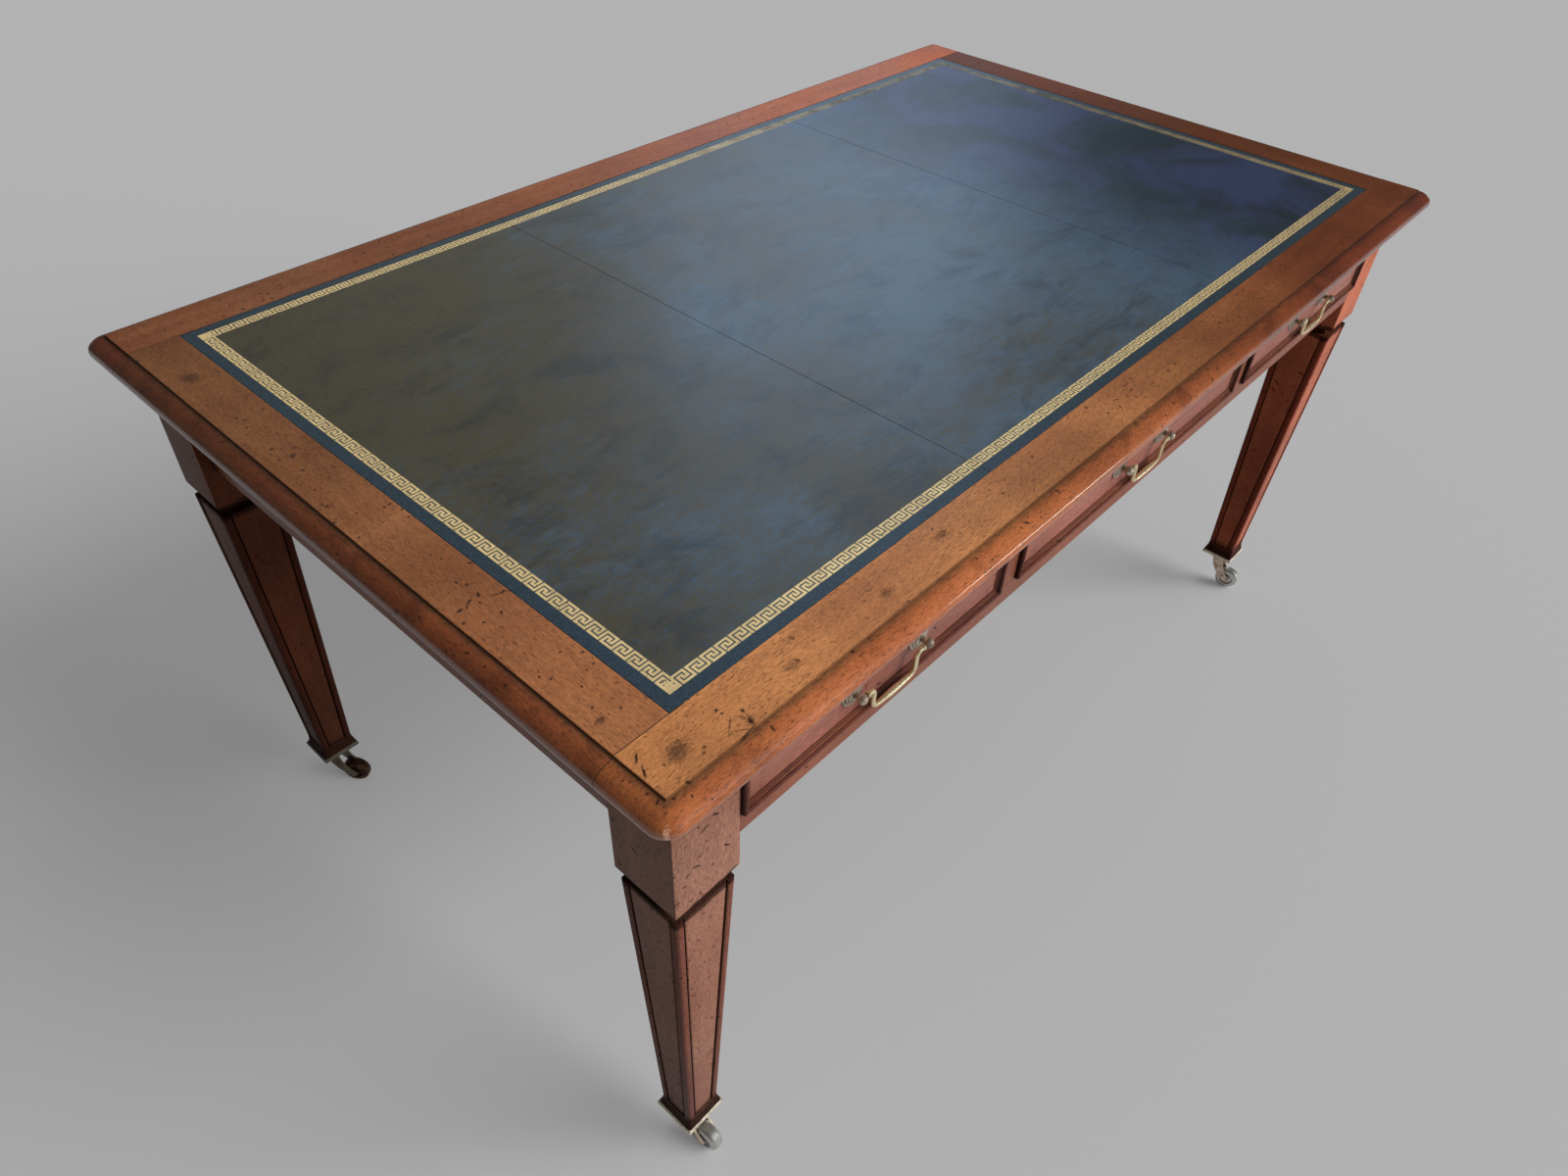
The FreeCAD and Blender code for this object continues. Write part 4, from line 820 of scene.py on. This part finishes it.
# Three rails carry painted light and shade: the front rail darker to the right, the left rail darker
# to the back, the back rail lighter to the right.
RAIL_LOOKS = {
    "front": dict(light=shade(214, 145, 88), dark=shade(158, 102, 60), far_lighting=(0.36, 0.22, 0.16),
                  lighting_fade=(0, -0.30, 0.48)),
    "back": dict(light=shade(146, 96, 66), dark=shade(104, 64, 44), far_lighting=(2.5, 1.8, 1.25),
                 lighting_fade=(0, -0.6, 0.65), polish=0.2, coat=0.05),
    "left": dict(light=shade(188, 124, 78), dark=shade(138, 86, 52), far_lighting=(0.54, 0.58, 0.62),
                 lighting_fade=(1, -0.36, 0.25), grain=Grain.ALONG_Y),
    "right": dict(light=shade(116, 66, 38), dark=shade(84, 44, 26), polish=0.15, coat=0.02,
                  grain=Grain.ALONG_Y),
}


@dataclass
class Top:
    """The framed top: four rails with their nosing and the panel under the hide."""

    eased: float = 0.5 * MM

    def build(self) -> None:
        """Dresses the rails, each with its grain along its length, and the panel."""
        joint = abs(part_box("top_rail_front")[1].y)
        for rail, look in RAIL_LOOKS.items():
            finish = TopMahogany(f"top_mahogany_{rail}", joint=joint, **look)
            dress_copy(f"top_rail_{rail}", finish, self.eased)
        dress_copy("top_panel", DrawerTimber("panel_timber"), self.eased)


@dataclass
class WritingSurface:
    """The hide, laid in three skins, and the gilt key border pressed round it."""

    band_outer_x: float = 676.8 * MM
    band_outer_y: float = 369.3 * MM
    band_width: float = 13.0 * MM
    line_width: float = 1.35 * MM
    units_long: int = 84
    units_short: int = 46
    leaf: float = 0.05 * MM
    sunk: float = 0.03 * MM
    stagger: float = 0.01 * MM
    eased: float = 0.35 * MM
    unit: tuple[float, float] = (-2.5, 1.5)

    def key_lines(self) -> list[tuple[float, float, float, float]]:
        """Returns the tooled lines of one unit as (u0, u1, v0, v1), in quarters and in widths."""
        start, end = self.unit
        foot = 0.77
        half = 2 * self.line_width * self.units_long / (2 * self.band_outer_x)
        deep = self.line_width / self.band_width / 2
        across = ((-2.0, 0.0, 0.25), (1.0, end + half, foot), (start - half, -1.0, foot))
        upright = ((0.0, 0.25, 1.0 + deep), (-2.0, 0.25, 0.50), (1.0, -deep, foot), (-1.0, 0.53, foot))
        lines = [(u0 - half, u1 + half, v - deep, v + deep) for u0, u1, v in across]
        return lines + [(u - half, u + half, v0 - deep, v1 + deep) for u, v0, v1 in upright]

    def key_unit(self, pitch: float) -> bpy.types.Mesh:
        """Cuts one unit of the gold border.

        Args:
            pitch: length of the unit along the border.

        Returns:
            A mesh of the leaf left between the tooled lines, from u = 0, v = 0.
        """
        start, end = self.unit
        bm = bmesh.new()
        corners = ((start, 0), (end, 0), (end, 1), (start, 1))
        bm.faces.new([bm.verts.new((u, v, 0.0)) for u, v in corners])
        lines = self.key_lines()
        for axis, places in ((0, {p for line in lines for p in line[:2]}),
                             (1, {p for line in lines for p in line[2:]})):
            low, high = (self.unit, (0.0, 1.0))[axis]
            normal = tuple(float(i == axis) for i in range(3))
            for cut in sorted(p for p in places if low < p < high):
                everything = bm.verts[:] + bm.edges[:] + bm.faces[:]
                bmesh.ops.bisect_plane(bm, geom=everything, dist=1e-7, plane_no=normal,
                                       plane_co=tuple(cut * n for n in normal))
        tooled = [
            face for face in bm.faces
            for u, v in [face.calc_center_median()[:2]]
            if any(u0 < u < u1 and v0 < v < v1 for u0, u1, v0, v1 in lines)
        ]
        bmesh.ops.delete(bm, geom=tooled, context="FACES")
        bmesh.ops.dissolve_limit(bm, angle_limit=0.01, verts=bm.verts, edges=bm.edges)
        raised = bmesh.ops.extrude_face_region(bm, geom=bm.faces[:])["geom"]
        tops = [item for item in raised if isinstance(item, bmesh.types.BMVert)]
        bmesh.ops.translate(bm, verts=tops, vec=(0, 0, self.leaf))
        bmesh.ops.scale(bm, vec=(pitch / (end - start), self.band_width, 1), verts=bm.verts)
        bmesh.ops.translate(bm, verts=bm.verts, vec=(-start * pitch / (end - start), 0, 0))
        bmesh.ops.recalc_face_normals(bm, faces=bm.faces)
        return self.in_order("key_unit", bm)

    @staticmethod
    def in_order(name: str, bm: BMesh) -> bpy.types.Mesh:
        """Turns a bmesh into a mesh with its faces sorted by place, the same in every run."""
        loops = [[tuple(corner.co) for corner in face.verts] for face in bm.faces]
        bm.free()
        loops = sorted(loop[i:] + loop[:i] for loop in loops for i in [loop.index(min(loop))])
        corners = sorted({corner for loop in loops for corner in loop})
        number = {corner: i for i, corner in enumerate(corners)}
        mesh = bpy.data.meshes.new(name)
        mesh.from_pydata(corners, [], [[number[corner] for corner in loop] for loop in loops])
        return mesh

    def build_border(self, level: float) -> BMesh:
        """Lays the units round the four sides.

        Args:
            level: height of the hide's face.

        Returns:
            The border's mesh.
        """
        bm = bmesh.new()
        sides = ((self.band_outer_x, self.band_outer_y, self.units_long),
                 (self.band_outer_y, self.band_outer_x, self.units_short)) * 2
        for quarter, (half_run, out, count) in enumerate(sides):
            pitch = 2 * half_run / count
            unit = self.key_unit(pitch)
            turn = Matrix.Rotation(quarter * math.pi / 2, 4, "Z")
            lift = level - self.sunk + (quarter % 2) * self.stagger
            for number in range(count):
                before = len(bm.verts)
                bm.from_mesh(unit)
                bm.verts.ensure_lookup_table()
                shift = Matrix.Translation((number * pitch - half_run, -out, lift))
                bmesh.ops.transform(bm, matrix=turn @ shift, verts=bm.verts[before:])
            bpy.data.meshes.remove(unit)
        return bm

    def build(self) -> None:
        """Dresses the hide and lays the border on it."""
        dress_copy("writing_leather", WritingHide(), self.eased)
        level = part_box("writing_leather")[1].z
        add_piece("gilt_key_border", self.build_border(level), Gilding(), "writing_leather",
                  replaces=False)


@dataclass
class Carcase:
    """Legs, rails, aprons and what carries the drawers."""

    eased: float = 0.6 * MM
    # painted light and shade in the legs' tones: the front right leg lighter as if lit, the front left
    # leg pinker for a sheen, the back left leg darker as if shaded; the third tone darkens towards the
    # foot
    leg_tones_lit_and_shaded: dict[str, tuple[Colour, Colour, Colour]] = field(default_factory=lambda: {
        "front_left": (shade(170, 123, 104), shade(114, 80, 66), (0.94, 0.94, 0.94)),
        "front_right": (shade(204, 120, 90), shade(166, 90, 68), WHITE),
        "back_left": (shade(120, 70, 46), shade(80, 44, 30), (0.5, 0.5, 0.52)),
        "back_right": (shade(132, 76, 50), shade(92, 50, 34), (0.8, 0.8, 0.8)),
    })

    def build(self) -> None:
        """Dresses each part with its grain along its length."""
        low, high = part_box("leg_front_right")
        axis = (abs(low.x + high.x) / 2, abs(low.y + high.y) / 2)
        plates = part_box("castor_plates")[1].z
        for corner, (light, dark, shade_at_foot) in self.leg_tones_lit_and_shaded.items():
            finish = LegMahogany(f"leg_mahogany_lit_and_shaded_{corner}", light, dark, foot_level=plates,
                                 low=shade_at_foot, axis=axis)
            dress_copy(f"leg_{corner}", finish, self.eased)
        tones = (shade(146, 86, 60), shade(104, 56, 40))
        finishes = {
            Mahogany("frieze_mahogany", *tones): ("lower_rails", "upper_rails"),
            Mahogany("apron_mahogany", *tones, Grain.ALONG_Y): ("end_apron_left", "end_apron_right"),
            Mahogany("divider_mahogany", *tones, Grain.ALONG_Z): ("drawer_dividers",),
            DrawerTimber("bearer_timber"): ("centre_bearer",),
            DrawerTimber("runner_timber", grain=Grain.ALONG_Y): (
                "drawer_runners", "drawer_kickers", "drawer_guides"),
        }
        for finish, nodes in finishes.items():
            for node in nodes:
                dress_copy(node, finish, self.eased)


@dataclass
class Drawer:
    """One drawer with its moulded face and its handle."""

    name: str
    eased: float = 0.4 * MM
    moulding_eased: float = 0.3 * MM

    def build(self) -> None:
        """Dresses the face, the applied moulding, the box and the handle."""
        # painted sheen: the face is pinker to stand in for the reflection of its lighter surroundings
        face = Mahogany("drawer_mahogany_pink_sheen", shade(170, 108, 92), shade(122, 74, 62), share=0.4)
        # painted shade: the moulding's hollows are darkened fully
        moulding = Mahogany("moulding_mahogany", shade(98, 52, 44), shade(46, 26, 25),
                            gloss=0.5, coat=0.0, polish=0.25, soil_and_shade=1.0)
        box = DrawerTimber("drawer_timber", grain=Grain.ALONG_Y)
        brass = Metal("handle_brass", shade(255, 240, 198), shade(220, 196, 144),
                      gloss=0.26, spread=0.14, scale=25.0, metallic=0.85)
        worn = Metal("post_brass", shade(214, 196, 176), shade(136, 114, 98),
                     gloss=0.22, spread=0.2, tarnished=0.8, scale=90.0, metallic=0.75)
        dress_copy(f"{self.name}_drawer_face", face, self.eased)
        dress_copy(f"{self.name}_drawer_moulding", moulding, self.moulding_eased)
        dress_copy(f"{self.name}_drawer_box", box)
        dress_copy(f"{self.name}_handle_posts", worn, crease=40.0)
        dress_copy(f"{self.name}_handle_bail", brass, crease=50.0)


@dataclass
class Castors:
    """Plates, screws, forks and wheels."""

    eased: float = 0.3 * MM

    def build(self) -> None:
        """Dresses the four castors."""
        # The back left castor stands under the desk: its plate and fork get painted shade, and its
        # wheel a dark brown of painted shade and painted reflection of the desk's underside.
        plate = Metal("plate_brass", shade(238, 230, 208), shade(166, 154, 132),
                      gloss=0.36, spread=0.2, tarnished=0.8, specks=0.6, scale=140.0,
                      metallic=0.6, back_left_shade=0.85)
        fork = Metal("fork_brass", shade(228, 212, 190), shade(150, 122, 100),
                     gloss=0.3, spread=0.25, tarnished=0.8, metallic=0.7, back_left_shade=0.8)
        wheel = Metal("wheel_metal", shade(252, 250, 254), shade(208, 202, 212), gloss=0.16,
                      spread=0.22, tarnished=0.6, specks=0.45, scale=90.0, metallic=0.35)
        # painted shade and reflection of the desk's underside on the back left wheel
        shaded_wheel = Metal("wheel_in_painted_shade", shade(104, 80, 62), shade(58, 40, 30),
                       gloss=0.4, spread=0.25, tarnished=0.9, specks=0.6, scale=90.0)
        screw = Metal("screw_steel", shade(150, 146, 140), shade(96, 90, 84))
        dress_copy("castor_plates", plate, self.eased)
        dress_copy("castor_screws", screw)
        for corner in CORNERS:
            dress_copy(f"{corner}_castor_fork", fork, self.eased)
            dress_copy(f"{corner}_castor_wheel", shaded_wheel if corner == "back_left" else wheel,
                       crease=40.0)


# -------- studio


@dataclass
class SoftSun:
    """An even lamp with a wide face: where it comes from, its width in degrees, its level.

    Gloss and metal show the studio's windows, not these lamps.
    """

    name: str
    come_from: tuple[float, float, float]
    width: float
    level: float
    tint: Colour = WHITE

    def build(self) -> None:
        """Hangs the lamp. A level of 1 lights a face square to it as a plain white would show."""
        lamp = bpy.data.lights.new(self.name, "SUN")
        lamp.energy, lamp.color = self.level * math.pi, self.tint
        lamp.angle = math.radians(self.width)
        thing = stand(self.name, lamp)
        thing.rotation_euler = (-Vector(self.come_from)).to_track_quat("-Z", "Y").to_euler()
        thing.visible_glossy = False


@dataclass
class Window:
    """A tall soft pane of light in the studio wall, by compass angle and slopes."""

    bearing: float
    half_width: float
    blur: float
    sill: float
    head: float
    colour: Colour
    ahead: tuple[float, float] = (0.05, 0.2)

    def lay(self, g: Graph, direction: Socket, seen: Socket) -> Socket:
        """Adds the pane's light to what the sky already shows."""
        angle = math.radians(self.bearing)
        near, full = self.ahead
        depth = g.vector("DOT_PRODUCT", direction, (math.sin(angle), math.cos(angle), 0.0))
        off = g.vector("DOT_PRODUCT", direction, (math.cos(angle), -math.sin(angle), 0.0))
        depth = g.math("MAXIMUM", depth, near)
        off = g.math("ABSOLUTE", g.math("DIVIDE", off, depth))
        slope = g.math("DIVIDE", g.parts(direction)[2], depth)
        pane = g.ease(off, self.half_width + self.blur, self.half_width - self.blur)
        pane = g.times(pane, g.ease(slope, self.head * 1.35, self.head * 0.35))
        pane = g.times(pane, g.ease(slope, self.sill * 0.5, self.sill * 1.5))
        pane = g.times(pane, g.ease(depth, near, full))
        return g.mix(pane, seen, self.colour)


@dataclass
class Studio:
    """Floor, lamps, world and camera."""

    floor_size: float = 60.0
    grey: Colour = shade(178, 178, 178)
    floor_tone: Colour = shade(191, 192, 195)
    floor_fill: float = 0.28
    floor_dim: Colour = (0.30, 0.25, 0.21)
    ambient: Colour = (0.072, 0.070, 0.067)
    windows: tuple[Window, ...] = (
        Window(50.0, 0.18, 0.05, 0.35, 0.95, (1.55, 1.95, 2.5)),
        Window(30.0, 0.16, 0.09, 0.12, 0.75, (0.32, 0.33, 0.30)),
        Window(168.0, 0.45, 0.12, 0.10, 0.8, (1.1, 1.15, 1.2)),
        Window(135.5, 0.10, 0.015, 0.03, 0.10, (25.0, 24.0, 22.5)),
    )
    camera_place: tuple[float, float, float] = (-1.04356, -0.79051, 1.39284)
    yaw: float = 0.864976
    pitch: float = 0.747869
    roll: float = 0.048072
    lens: float = 25.2086
    sensor: float = 36.0
    clip: tuple[float, float] = (0.05, 100.0)

    def build_floor(self) -> None:
        """Lays the plain floor, which keeps a light shadow."""
        bm = bmesh.new()
        bmesh.ops.create_grid(bm, x_segments=1, y_segments=1, size=self.floor_size / 2)
        mesh = as_mesh("floor", bm)
        floor = stand("floor", mesh)
        material = bpy.data.materials.new("floor")
        g = Graph.fresh(material)
        path = g.add("LightPath").outputs
        seen = g.math("SUBTRACT", 1.0, path["Is Diffuse Ray"])
        tone = g.mix(seen, self.floor_dim, self.floor_tone)
        matt = g.add("BsdfDiffuse", {"Color": tone}).outputs[0]
        glow = g.add("Emission", {"Color": self.grey}).outputs[0]
        share = g.times(path["Is Camera Ray"], self.floor_fill)
        both = g.add("MixShader", {0: share, 1: matt, 2: glow}).outputs[0]
        g.add("OutputMaterial", {0: both})
        mesh.materials.append(material)

    def build_world(self) -> None:
        """Sets a low even sky; gloss mirrors soft windows in it, the camera sees plain grey."""
        world = bpy.data.worlds.new("studio")
        bpy.context.scene.world = world
        g = Graph.fresh(world)
        direction = g.add("TexCoord").outputs["Generated"]
        even = g.add("RGB").outputs[0]
        even.default_value = (*self.ambient, 1.0)
        mirrored = even
        for window in self.windows:
            mirrored = window.lay(g, direction, mirrored)
        path = g.add("LightPath").outputs
        sky = g.mix(path["Is Glossy Ray"], even, mirrored)
        colour = g.mix(path["Is Camera Ray"], sky, self.grey)
        g.add("OutputWorld", {0: g.add("Background", {"Color": colour}).outputs[0]})

    def build_lamps(self) -> None:
        """Hangs the soft lamps: the key, one from the right and a wide one overhead."""
        SoftSun("key", (0.45, -0.78, 0.50), 40.0, 1.0, (1.0, 0.98, 0.95)).build()
        SoftSun("side", (0.75, -0.65, 0.60), 70.0, 0.35).build()
        SoftSun("overhead", (0.0, 0.0, 1.0), 110.0, 0.12).build()

    def build_camera(self) -> None:
        """Sets the camera."""
        ahead = Vector((math.sin(self.yaw) * math.cos(self.pitch),
                        math.cos(self.yaw) * math.cos(self.pitch), -math.sin(self.pitch)))
        right = Vector((math.cos(self.yaw), -math.sin(self.yaw), 0.0))
        up = right.cross(ahead)
        across = math.cos(self.roll) * right + math.sin(self.roll) * up
        rise = math.cos(self.roll) * up - math.sin(self.roll) * right
        lens = bpy.data.cameras.new("camera")
        lens.lens, lens.sensor_width, lens.sensor_fit = self.lens, self.sensor, "HORIZONTAL"
        lens.clip_start, lens.clip_end = self.clip
        camera = stand("camera", lens)
        turn = Matrix((across, rise, -ahead)).transposed().to_4x4()
        camera.matrix_world = Matrix.Translation(self.camera_place) @ turn
        bpy.context.scene.camera = camera

    def build(self) -> None:
        """Sets up the whole studio."""
        self.build_floor()
        self.build_world()
        self.build_lamps()
        self.build_camera()
        bpy.context.scene.view_settings.view_transform = "Standard"


def main() -> None:
    """Builds the studio and the desk, part by part."""
    logging.basicConfig(level=logging.INFO, format="%(name)s: %(message)s")
    Finish.effects = Effects()
    parts = [Studio(), Top(), WritingSurface(), Carcase(), Castors()]
    parts += [Drawer(name) for name in DRAWERS]
    for part in parts:
        part.build()


if __name__ == "__main__":
    main()
